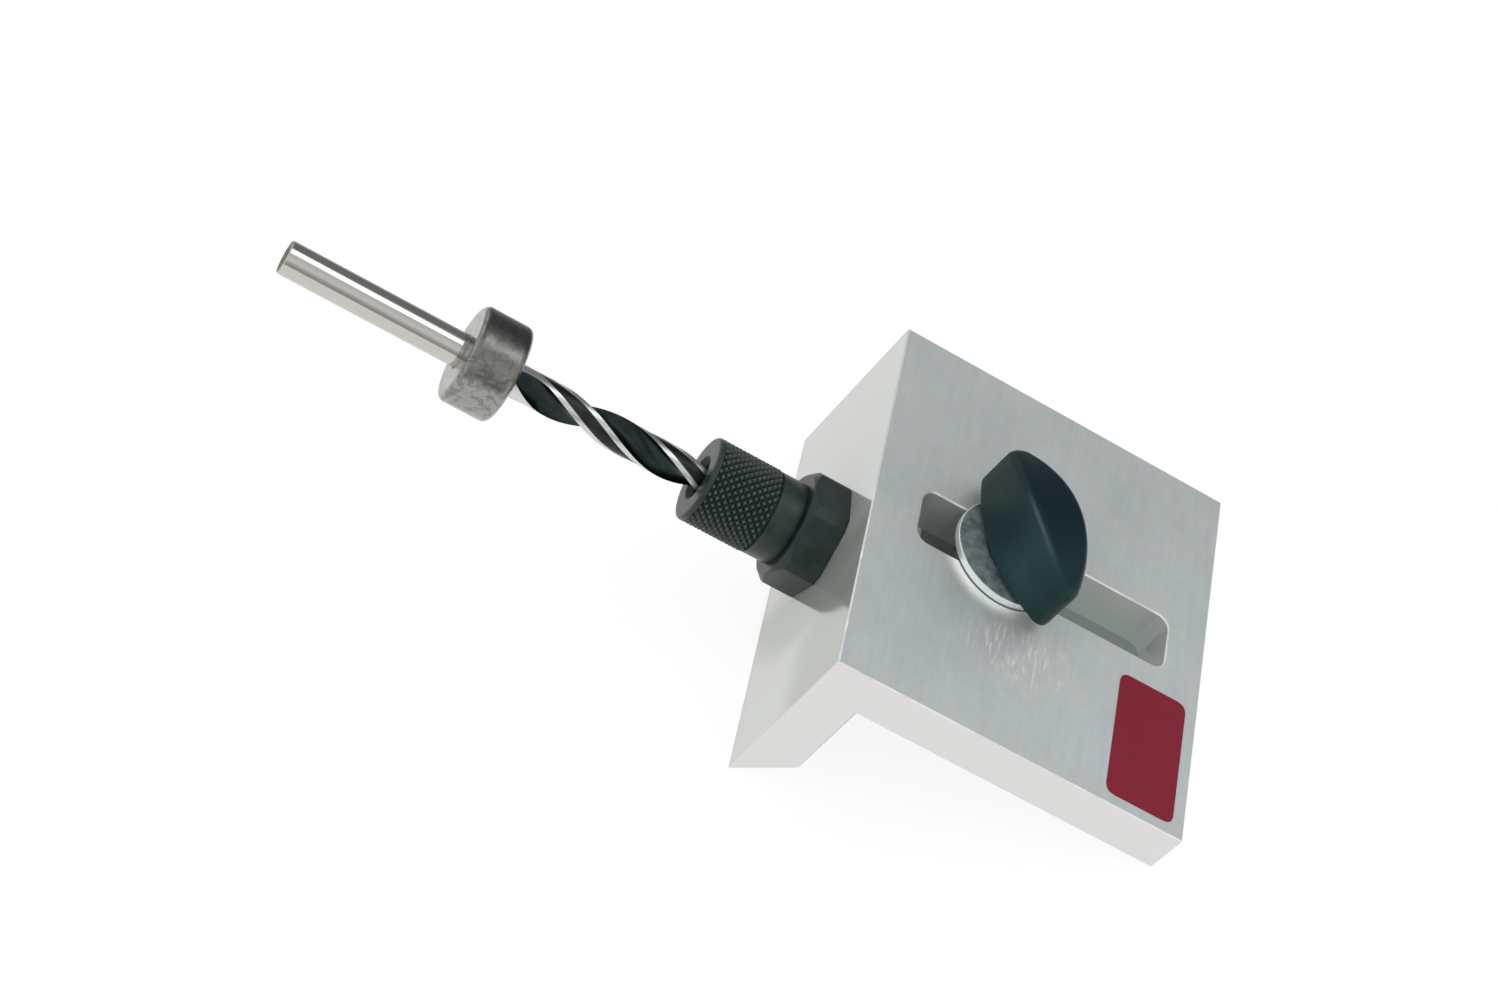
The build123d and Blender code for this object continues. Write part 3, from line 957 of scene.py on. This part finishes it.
@dataclass
class KnurledBush:
    """Guide bush with a diamond knurl, and its lock nut."""

    front: float = -24.2
    knurl_start: float = -23.3
    knurl_end: float = -11.7
    valley_radius: float = 7.14
    crest_radius: float = 7.64
    plain_radius: float = 7.5
    plain_end: float = -7.06
    plain_chamfer: float = 0.10
    neck_radius: float = 7.42
    nut_front: float = -7.0
    thread_radius: float = 6.0
    thread_end: float = 8.6
    bore_radius: float = 3.07
    mouth_radius: float = 4.1
    mouth_depth: float = 1.1
    around: int = 32
    period: float = 1.5
    crest_top: float = 0.10
    crest_foot: float = 0.52
    crest_sink: float = 0.04

    def sleeve(self) -> bpy.types.Object:
        """The turned sleeve below the knurl, with its bore and the knurl's grooves darkened as painted shade.

        Returns:
            The sleeve.
        """
        corners = [
            (self.front, self.mouth_radius, 0.12),
            (self.front, self.crest_radius, 0.75),
            (self.knurl_start, self.crest_radius, 0.0),
            (self.knurl_start + 0.2, self.valley_radius, 0.0),
            (self.knurl_end - 0.1, self.valley_radius, 0.0),
            (self.knurl_end, self.plain_radius, 0.06),
            (self.plain_end - self.plain_chamfer, self.plain_radius, 0.12),
            (self.plain_end, self.plain_radius - self.plain_chamfer, 0.08),
            (self.plain_end, self.neck_radius, 0.05),
            (self.nut_front - 0.06, self.neck_radius, 0.0),
            (self.nut_front, self.thread_radius, 0.2),
            (self.thread_end, self.thread_radius, 0.3),
            (self.thread_end, self.bore_radius, 0.15),
            (self.front + self.mouth_depth, self.bore_radius, 0.0),
        ]
        form = Form()
        loop = rounded_loop(corners)
        radii = [r for _, r in loop]
        widest = [max(a, b) for a, b in zip(radii, radii[1:] + radii[:1])]
        near = 0.01
        # Painted shade: bands in the bore and the knurl's grooves take the darker black.
        recess_shade_slots = [int(r < self.mouth_radius + near or abs(r - self.valley_radius) < near) for r in widest]
        Lathe(Turned.ALONG_DRILL, (0, 0, -JIG.axis_depth)).solid(form, loop, recess_shade_slots)
        return form.build("guide_bush_sleeve", [BLACK_STEEL, RECESS_SHADE_STEEL])

    def tree(self) -> bpy.types.NodeTree:
        """Geometry Nodes that set diamond crests round a cylinder in staggered rows.

        Returns:
            The node group.
        """
        tree = bpy.data.node_groups.new("diamond_knurl", "GeometryNodeTree")
        face = tree.interface
        face.new_socket("Geometry", in_out="INPUT", socket_type="NodeSocketGeometry")
        for name, kind in (("Rows", "Int"), ("Around", "Int"), ("Period", "Float"), ("Start", "Float"),
                           ("Radius", "Float"), ("Height", "Float"), ("Material", "Material")):
            face.new_socket(name, in_out="INPUT", socket_type=f"NodeSocket{kind}")
        face.new_socket("Geometry", in_out="OUTPUT", socket_type="NodeSocketGeometry")
        n = Nodes(tree)
        given = n.add("NodeGroupInput").outputs
        points = n.add("GeometryNodePoints", {"Count": n.times(given["Rows"], given["Around"])})
        index = n.add("GeometryNodeInputIndex").outputs[0]
        row = n.math("FLOOR", n.math("DIVIDE", n.math("ADD", index, 0.5), given["Around"]))
        column = n.math("SUBTRACT", index, n.times(row, given["Around"]))
        stagger = n.times(n.math("FLOORED_MODULO", row, 2.0), 0.5)
        turn = n.math("DIVIDE", n.times(n.math("ADD", column, stagger), math.tau), given["Around"])
        done = n.times(n.math("ADD", row, 0.5), n.times(given["Period"], 0.5))
        along = n.math("ADD", given["Start"], done)
        radial = n.add("ShaderNodeCombineXYZ", {1: n.math("COSINE", turn), 2: n.math("SINE", turn)}).outputs[0]
        foot = n.scaled(radial, given["Radius"])
        place = n.vector_math("ADD", foot, n.add("ShaderNodeCombineXYZ", {0: along}).outputs[0])
        moved = n.add("GeometryNodeSetPosition", {"Geometry": points.outputs[0], "Position": place})
        crest = n.add(
            "GeometryNodeMeshCone",
            {"Vertices": 4, "Side Segments": 1, "Radius Top": n.times(given["Period"], self.crest_top),
             "Radius Bottom": n.times(given["Period"], self.crest_foot), "Depth": given["Height"]},
            fill_type="NGON",
        )
        facing = n.add("FunctionNodeAxesToRotation", {0: radial, 1: (1.0, 0.0, 0.0)},
                       primary_axis="Z", secondary_axis="X")
        crests = n.add("GeometryNodeInstanceOnPoints",
                       {"Points": moved.outputs[0], "Instance": crest.outputs[0], "Rotation": facing.outputs[0]})
        real = n.add("GeometryNodeRealizeInstances", {0: crests.outputs[0]})
        painted = n.add("GeometryNodeSetMaterial", {"Geometry": real.outputs[0], "Material": given["Material"]})
        n.add("NodeGroupOutput", {0: painted.outputs[0]})
        return tree

    def knurl(self) -> bpy.types.Object:
        """The crests as a plain mesh in the row frame.

        Returns:
            The knurl.
        """
        seed = add_object("knurl_seed", bpy.data.meshes.new("knurl_seed"))
        modifier = seed.modifiers.new("knurl", "NODES")
        modifier.node_group = self.tree()
        rows = int((self.knurl_end - self.knurl_start) / (self.period / 2))
        values = {"Rows": rows, "Around": self.around, "Period": self.period, "Start": self.knurl_start,
                  "Radius": self.valley_radius - self.crest_sink,
                  "Height": self.crest_radius - self.valley_radius + self.crest_sink,
                  "Material": KNURL_STEEL.material()}
        for item in modifier.node_group.interface.items_tree:
            if item.in_out == "INPUT" and item.name in values:
                modifier[item.identifier] = values[item.name]
        graph = bpy.context.evaluated_depsgraph_get()
        mesh = bpy.data.meshes.new_from_object(seed.evaluated_get(graph))
        bpy.data.objects.remove(seed)
        mesh.transform(JIG.matrix() @ Matrix.Translation((0, 0, -JIG.axis_depth)))
        mesh.name = "guide_bush_knurl"
        return add_object(mesh.name, mesh)

    def build(self) -> None:
        """Builds sleeve and knurl, and dresses the nut."""
        sleeve, knurl = self.sleeve(), self.knurl()
        for piece in (sleeve, knurl):
            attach(piece, Body.JIG.value)
        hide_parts("guide_bush")
        dress_node("lock_nut", NUT_STEEL)
        LOG.info("bush built, knurl of %d faces", len(knurl.data.polygons))


@dataclass
class TwistDrill:
    """Two-flute drill with both edges of each land ground bright."""

    tail: float = JIG.drill_tail
    flute_start: float = -60.5
    tip: float = -8.8
    radius: float = 3.0
    chamfer: float = 0.2
    lead: float = 43.0
    flute_turn: float = 12.0
    lead_in: float = 0.25
    runout: float = 6.5
    web: float = 1.5
    flute_radius: float = 2.9
    margin: float = 0.95
    relief: float = 0.12
    relief_start: float = 1.5
    relief_full: float = 6.5
    point: float = 2.0
    lead_power: float = 1.2
    back_gap: float = 0.03
    relief_edge: float = 0.01
    flute_steps: int = 26
    margin_steps: int = 6
    back_steps: int = 9
    straight: float = 20.0
    point_rim: Pair = (0.3, 0.28)
    sawn_rim: Pair = (0.03, 0.85)
    sawn_dish: float = 0.05
    stations: int = 170

    def section(self, along: float) -> tuple[list[Pair], list[int]]:
        """Outline of the fluted part at a place along it, not yet turned by the twist.

        Args:
            along: distance from where the flutes start.

        Returns:
            Points (x, y) square to the axis, and the material slot of the stretch after each point:
            1 black flute, 2 ground, 4 black relief.
        """
        lift = (self.radius - self.web / 2) * (1 - min(along / self.runout, 1.0)) ** self.lead_power
        r, place = self.radius, self.web / 2 + self.flute_radius + lift
        half = math.acos(min((r * r + place * place - self.flute_radius**2) / (2 * r * place), 1.0))
        edge = math.atan2(r * math.sin(half), place - r * math.cos(half))
        share = min(max((along - self.relief_start) / (self.relief_full - self.relief_start), 0.0), 1.0)
        narrow, wide = self.margin / r, (math.pi - 2 * half) / 2 - self.back_gap
        margin, low = wide + (narrow - wide) * share, r - self.relief * share
        points: list[Pair] = []
        slots: list[int] = []

        def arc(start: float, end: float, radius: float, steps: int, slot: int) -> None:
            """Adds an arc round the drill's axis.

            Args:
                start: angle where it starts.
                end: angle where it ends; that point is left to the next arc.
                radius: its radius.
                steps: number of its points.
                slot: material slot of its stretches.
            """
            for i in range(steps):
                t = start + (end - start) * i / steps
                points.append((radius * math.cos(t), radius * math.sin(t)))
                slots.append(slot)

        for middle in (math.radians(self.flute_turn), math.radians(self.flute_turn) + math.pi):
            for i in range(self.flute_steps):
                t = edge - 2 * edge * i / self.flute_steps
                x, y = place - self.flute_radius * math.cos(t), self.flute_radius * math.sin(t)
                turn, reach = middle - math.atan2(y, x), math.hypot(x, y)
                points.append((reach * math.cos(turn), reach * math.sin(turn)))
                slots.append(1)
            start, end = middle + half, middle + math.pi - half
            back, thin = 4 if share > 0 else 2, self.relief_edge
            arc(start, start + margin, r, self.margin_steps, 2)
            arc(start + margin, start + margin + thin, r, 1, 2)
            arc(start + margin + thin, end - margin - thin, low, self.back_steps, back)
            arc(end - margin - thin, end - margin, low, 1, 2)
            arc(end - margin, end, r, self.margin_steps, 2)
        return points, slots

    def at(self, along: float, x: float, y: float) -> Point:
        """Place of a section's point: its x looks up and its y towards the label side."""
        return (along, -y, -JIG.axis_depth + x)

    def ring_at(self, along: float) -> tuple[list[Point], list[int]]:
        """The section turned to where the twist has brought it.

        Args:
            along: place along the drill.

        Returns:
            Its points, and the material slot of the stretch after each point.
        """
        done = min((along - self.flute_start) / self.runout, 1.0)
        turn = math.tau * (along - self.flute_start) / self.lead + self.lead_in * (1 - done) ** 2
        c, s = math.cos(turn), math.sin(turn)
        outline, slots = self.section(along - self.flute_start)
        return [self.at(along, x * c - y * s, x * s + y * c) for x, y in outline], slots

    def build(self) -> None:
        """Builds the drill as one piece."""
        form = Form()
        first, _ = self.ring_at(self.flute_start)
        angles = [math.atan2(-y, z + JIG.axis_depth) for _, y, z in first]
        shank = [(self.tail, self.radius - self.chamfer), (self.tail + self.chamfer, self.radius),
                 (self.flute_start - self.straight, self.radius), (self.flute_start, self.radius)]
        rings = [form.ring([self.at(x, r * math.cos(a), r * math.sin(a)) for a in angles]) for x, r in shank]
        self.end_face(form, rings[0])
        for a, b in zip(rings, rings[1:]):
            form.bridge(a, b)
        spur = self.tip - self.point
        last = rings[-1]
        for i in range(1, self.stations + 1):
            points, slots = self.ring_at(self.flute_start + (spur - self.flute_start) * i / self.stations)
            ring = form.ring(points)
            form.bridge(last, ring, slots)
            last = ring
        back, share = self.point_rim
        inner = form.ring([self.at(spur - back, *self.shrunk(form.vertices[i], share)) for i in last])
        form.bridge(last, inner, [1] * len(last))
        form.fan(inner, self.at(self.tip, 0, 0), slot=2)
        drill = form.build("twist_drill", [SHANK_STEEL, FLUTE_STEEL, LAND_STEEL, SAWN_STEEL, RELIEF_STEEL], 28.0)
        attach(drill, Body.DRILL.value)
        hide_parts("drill_bit")
        LOG.info("drill built with %d faces", len(drill.data.polygons))

    def end_face(self, form: Form, ring: list[int]) -> None:
        """Closes the shank's tail with a sawn face that is dished a little.

        Args:
            form: gets the faces.
            ring: numbers of the vertices at the tail.
        """
        deep, share = self.sawn_rim
        inner = form.ring([self.at(self.tail + deep, *self.shrunk(form.vertices[i], share)) for i in ring])
        form.bridge(inner, ring, [3] * len(ring))
        form.fan(inner, self.at(self.tail + self.sawn_dish, 0, 0), flip=True, slot=3)

    def shrunk(self, vertex: Point, share: float) -> Pair:
        """Section coordinates of a vertex, moved towards the axis."""
        return ((vertex[2] + JIG.axis_depth) * share, -vertex[1] * share)


@dataclass
class StopCollar:
    """Turned collar with a radial set screw."""

    collar_node: str = "stop_collar"
    screw_node: str = "collar_screw"

    def build(self) -> None:
        """Dresses the collar and its screw."""
        dress_node(self.collar_node, COLLAR_STEEL)
        dress_node(self.screw_node, BLACK_STEEL)
        LOG.info("stop collar dressed")


@dataclass
class WingClamp:
    """Wing knob, washer and bolt that clamp the slide plate."""

    place: float = 26.0
    base: float = 2.5
    length: float = 29.0
    width: float = 10.6
    height: float = 13.5
    crown: float = 4.4
    turn: float = 30.0
    tip_round: float = 2.3
    edge_middle: float = 1.5
    edge_tip: float = 1.4
    foot_inset: Pair = (0.35, 0.1)
    foot_round: Pair = (0.12, 0.4)
    foot_middle: float = 0.6
    wall_steps: int = 8
    edge_steps: int = 9
    top_steps: int = 5
    boss_radius: float = 4.8
    boss_bore: float = 3.05
    boss_sunk: float = 0.3
    washer_top: float = 1.5
    shy: float = 0.99995
    stations: int = 96

    def tip_centre(self) -> float:
        """Centre of the circle that rounds each tip, along the grip."""
        return self.length / 2 - self.tip_round

    def side_radius(self) -> float:
        """Radius of the two sides."""
        centre, thin = self.tip_centre(), self.width / 2 - self.tip_round
        return (centre**2 + thin**2) / (2 * thin) + self.tip_round

    def half_width(self, a: float) -> float:
        """Half the grip's width.

        Args:
            a: place along the grip.

        Returns:
            The half width.
        """
        side, centre = self.side_radius(), self.tip_centre()
        if abs(a) < side * centre / (side - self.tip_round):
            return math.sqrt(side**2 - a * a) - (side - self.width / 2)
        return math.sqrt(max(self.tip_round**2 - (abs(a) - centre) ** 2, 0))

    def top(self, a: float) -> float:
        """Height of the crowned top above the base.

        Args:
            a: place along the grip.

        Returns:
            The height.
        """
        half = self.length / 2
        radius = (half**2 + self.crown**2) / (2 * self.crown)
        return self.height - radius + math.sqrt(radius**2 - a * a)

    def cross(self, a: float, reach: float) -> list[Pair]:
        """Half outline of the grip across its length, from the base's middle up to the top's middle.

        Args:
            a: place along the grip.
            reach: where the grip ends.

        Returns:
            (across, height) points.
        """
        wide = self.half_width(a)
        share = abs(a) / reach
        edge = self.edge_middle + (self.edge_tip - self.edge_middle) * share**3
        inset = min(edge, wide)
        left = max(reach - abs(a), 0.0)
        drop = edge - math.sqrt(max(edge**2 - (edge - left) ** 2, 0)) if left < edge else 0.0
        top = self.top(a) - drop
        inner, outer = (max(wide - inset_by, 0) for inset_by in self.foot_inset)
        low, foot = self.foot_round
        points = [(0.0, 0.0), (inner * self.foot_middle, 0.0), (inner, 0.0), (outer, low), (wide, foot)]
        for i in range(1, self.wall_steps + 1):
            points.append((wide, foot + (top - edge - foot) * i / self.wall_steps))
        for i in range(1, self.edge_steps + 1):
            t = math.pi / 2 * i / self.edge_steps
            points.append((wide - inset * (1 - math.cos(t)), top - edge * (1 - math.sin(t))))
        for i in range(1, self.top_steps + 1):
            points.append(((wide - inset) * (1 - i / self.top_steps), top))
        return points

    def grip(self) -> bpy.types.Object:
        """The lens-shaped grip with its round boss.

        Returns:
            The grip.
        """
        reach = self.length / 2
        turn = math.radians(self.turn)
        long_way = Vector((math.sin(turn), -math.cos(turn), 0))
        side_way = Vector((math.cos(turn), math.sin(turn), 0))
        form = Form()
        last: list[int] = []
        for i in range(self.stations + 1):
            a = -reach * math.cos(math.pi * i / self.stations) * self.shy
            half = self.cross(a, reach)
            points = []
            for across, height in half + [(-x, z) for x, z in reversed(half[1:-1])]:
                p = Vector((self.place, 0, self.base + height)) + long_way * a + side_way * across
                points.append(tuple(p))
            ring = form.ring(points)
            if last:
                form.bridge(last, ring)
            else:
                form.face(tuple(reversed(ring)))
            last = ring
        form.face(tuple(last))
        low, high, bore = self.washer_top, self.base + self.boss_sunk, self.boss_bore
        Lathe(Turned.ALONG_CLAMP, (self.place, 0, 0), 64).solid(
            form, [(low, bore), (low, self.boss_radius), (high, self.boss_radius), (high, bore)])
        return form.build("wing_grip", [PLASTIC], 40.0)

    def build(self) -> None:
        """Builds the grip, dresses washer and bolt."""
        grip = self.grip()
        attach(grip, Body.KNOB.value)
        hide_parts("clamp_knob")
        dress_node("clamp_washer", ZINC)
        dress_node("clamp_bolt", ZINC)
        LOG.info("clamp built, grip of %d faces", len(grip.data.polygons))


@dataclass
class Locator:
    """Slide plate, tongue and their screws below the long flange."""

    steel_nodes: tuple[str, ...] = ("slide_plate", "locating_tongue")
    screw_node: str = "tongue_screws"

    def build(self) -> None:
        """Dresses the pieces."""
        for node in self.steel_nodes:
            dress_node(node, PLATE_STEEL)
        dress_node(self.screw_node, BLACK_STEEL)
        LOG.info("locator dressed")


@dataclass
class Studio:
    """White floor, soft surroundings, one softbox and the camera."""

    lens: float = 82.14
    sensor: float = 36.0
    eye: Point = (-163.87, -385.97, 376.92)
    right: Point = (0.8512, 0.1755, 0.4946)
    down: Point = (0.4553, -0.7157, -0.5296)
    forward: Point = (0.261, 0.6759, -0.6892)
    floor_size: float = 6.0
    box_ends: tuple[Point, Point] = ((0.63, -0.16, 0.77), (0.23, 0.58, 0.78))
    box_distance: float = 3.0
    box_width: float = 7.8
    box_radiance: float = 1.5
    aim_height: float = 0.03
    diffuse_sky: float = 0.87
    shaded_x: Pair = (6.0, 80.0)
    shaded_y: Pair = (-39.0, 39.0)
    seen_y: Pair = (-15.0, 39.0)
    open_x: Pair = (28.0, 50.0)
    shaded_border: float = 8.0
    far_y: Pair = (80.0, 150.0)
    seen_gray: float = 0.16
    seen_glow: Pair = (0.88, 0.15)
    seen_tint: Rgb = (0.88, 1.0, 0.92)
    lit_gray: float = 0.85
    mirrored_glow: Pair = (0.95, 0.35)
    mirrored_shade: Pair = (0.10, 0.36)
    mirrored_tints: tuple[Rgb, Rgb] = ((1, 0.995, 0.985), (0.92, 1.0, 0.96))
    room_tones: Stops = (
        (0.0, (0.38, 0.38, 0.37)), (0.015, (0.38, 0.38, 0.37)), (0.05, (0.52, 0.52, 0.51)),
        (0.095, (0.72, 0.72, 0.71)), (0.155, (0.83, 0.83, 0.82)), (0.32, (0.66, 0.66, 0.66)),
        (0.42, (0.74, 0.74, 0.74)), (0.60, (0.71, 0.72, 0.73)), (0.70, (0.66, 0.68, 0.69)),
        (0.80, (0.47, 0.485, 0.49)), (1.0, (0.45, 0.465, 0.47)),
    )
    panel_level: float = 0.44
    panel_reach: tuple[Pair, Pair] = ((0.30, 0.52), (-0.2, 0.0))
    side_level: float = 1.4
    side_reach: tuple[Pair, Pair] = ((-0.15, -0.4), (0.3, 0.5))

    def camera(self) -> None:
        """Camera at the photograph's place and angle."""
        data = bpy.data.cameras.new("camera")
        data.lens, data.sensor_width = self.lens, self.sensor
        data.clip_start, data.clip_end = 0.01, 50.0
        made = add_object("camera", data)
        right, down, forward = (JIG.direction(v) for v in (self.right, self.down, self.forward))
        turn = Matrix((right, -down, -forward)).transposed().to_4x4()
        made.matrix_world = Matrix.Translation(JIG.matrix() @ Vector(self.eye)) @ turn
        bpy.context.scene.camera = made

    def floor(self) -> None:
        """White floor that shows as plain white and keeps a faint shadow, with a painted shadow below the angle.
        """
        half = self.floor_size / 2
        mesh = bpy.data.meshes.new("floor")
        corners = [(-half, -half, 0), (half, -half, 0), (half, half, 0), (-half, half, 0)]
        mesh.from_pydata(corners, [], [(0, 1, 2, 3)])
        made = add_object("floor", mesh)
        material = bpy.data.materials.new("white_floor")
        material.use_nodes = True
        material.node_tree.nodes.clear()
        n = Nodes(material.node_tree)
        path = n.add("ShaderNodeLightPath").outputs
        # Painted shadow: below the angle the floor glows less and greener, seen directly and in reflections.
        seen_under = self.below_the_angle(n, self.seen_y)
        under = self.below_the_angle(n, self.shaded_y)
        seen = n.add("ShaderNodeAddShader", {
            0: n.add("ShaderNodeEmission", {"Color": n.mix(seen_under, (1, 1, 1), self.seen_tint),
                                            "Strength": n.spread(seen_under, *self.seen_glow)}).outputs[0],
            1: self.matt(n, self.seen_gray),
        }).outputs[0]
        place = n.split(n.object_place())
        # Painted shadow in reflections: below the angle the glow drops further at low x.
        shade = n.spread(self.between(n, place[0], self.open_x), *self.mirrored_shade)
        open_glow = n.spread(self.between(n, place[1], self.far_y), *self.mirrored_glow)
        glow = n.add("ShaderNodeEmission", {"Color": n.mix(under, *self.mirrored_tints),
                                            "Strength": n.blend(under, open_glow, shade)}).outputs[0]
        lit = self.matt(n, self.lit_gray)
        mirrored = n.add("ShaderNodeMixShader", {0: path["Is Glossy Ray"], 1: lit, 2: glow}).outputs[0]
        shown = n.add("ShaderNodeMixShader", {0: path["Is Camera Ray"], 1: mirrored, 2: seen}).outputs[0]
        n.add("ShaderNodeOutputMaterial", {"Surface": shown})
        mesh.materials.append(material)

    @staticmethod
    def matt(n: Nodes, gray: float) -> Socket:
        """A matt grey shader."""
        return n.add("ShaderNodeBsdfDiffuse", {"Color": (gray, gray, gray, 1)}).outputs[0]

    @staticmethod
    def between(n: Nodes, value: Any, reach: Pair) -> Socket:
        """0 up to one place in millimetres, 1 from another, eased between."""
        return n.step(value, reach[0] * MM, reach[1] * MM)

    def below_the_angle(self, n: Nodes, across: Pair) -> Socket:
        """1 on the ground below the angle, where the floor's glow is dimmed as a painted shadow, with a soft
        border.

        Args:
            n: the floor's nodes.
            across: where the shaded ground starts and ends across the angle.

        Returns:
            The amount.
        """
        place = n.split(n.object_place())
        (x0, x1), (y0, y1), soft = self.shaded_x, across, self.shaded_border
        along_x = n.times(self.between(n, place[0], (x0, x0 + soft)), self.between(n, place[0], (x1, x1 - soft)))
        along_y = n.times(self.between(n, place[1], (y0, y0 + soft)), self.between(n, place[1], (y1, y1 - soft)))
        return n.times(along_x, along_y)

    def surroundings(self) -> None:
        """World: white where the camera sees it, and a soft studio for everything else."""
        world = bpy.data.worlds.new("studio")
        world.use_nodes = True
        world.node_tree.nodes.clear()
        n = Nodes(world.node_tree)
        way = n.split(n.add("ShaderNodeTexCoord").outputs["Generated"])
        front = n.ramp(n.math("MULTIPLY_ADD", way[1], 0.5, 0.5), self.room_tones)
        (panel_y, panel_x), (side_x, side_y) = self.panel_reach, self.side_reach
        panel = n.times(n.step(way[1], *panel_y), n.step(way[0], *panel_x))
        side = n.times(n.step(way[0], *side_x), n.step(way[1], *side_y))
        back = n.times(n.spread(panel, 1.0, self.panel_level), n.spread(side, 1.0, self.side_level))
        path = n.add("ShaderNodeLightPath").outputs
        mirrored = self.sky(n, n.vector_math("MULTIPLY", front, back), 1.0)
        soft = self.sky(n, (1, 1, 1, 1), self.diffuse_sky)
        white = self.sky(n, (1, 1, 1, 1), 1.0)
        unseen = n.add("ShaderNodeMixShader", {0: path["Is Glossy Ray"], 1: soft, 2: mirrored}).outputs[0]
        shown = n.add("ShaderNodeMixShader", {0: path["Is Camera Ray"], 1: unseen, 2: white}).outputs[0]
        n.add("ShaderNodeOutputWorld", {"Surface": shown})
        bpy.context.scene.world = world

    @staticmethod
    def sky(n: Nodes, color: Any, strength: float) -> Socket:
        """A background shader."""
        return n.add("ShaderNodeBackground", {"Color": color, "Strength": strength}).outputs[0]

    def softbox(self) -> None:
        """One long softbox above, to the right."""
        start, end = (Vector(v).normalized() for v in self.box_ends)
        toward = (start + end).normalized()
        along = (end - start).normalized()
        long_side = 2 * self.box_distance * math.tan(start.angle(end) / 2)
        wide = 2 * self.box_distance * math.tan(math.radians(self.box_width) / 2)
        data = bpy.data.lights.new("softbox", "AREA")
        data.shape, data.size, data.size_y = "RECTANGLE", long_side, wide
        data.energy = self.box_radiance * math.pi * long_side * wide
        made = add_object("softbox", data)
        turn = Matrix((along, toward.cross(along), toward)).transposed().to_4x4()
        made.matrix_world = Matrix.Translation(toward * self.box_distance + Vector((0, 0, self.aim_height))) @ turn

    def build(self) -> None:
        """Sets up the whole stage."""
        bpy.context.scene.view_settings.view_transform = "Standard"
        self.camera()
        self.floor()
        self.surroundings()
        self.softbox()
        LOG.info("studio ready")


def main() -> None:
    """Builds every sub-assembly in order, then the stage."""
    logging.basicConfig(level=logging.INFO, format="%(name)s: %(message)s")
    for assembly in (AngleBody(), KnurledBush(), TwistDrill(), StopCollar(), WingClamp(), Locator(), Studio()):
        assembly.build()


if __name__ == "__main__":
    main()
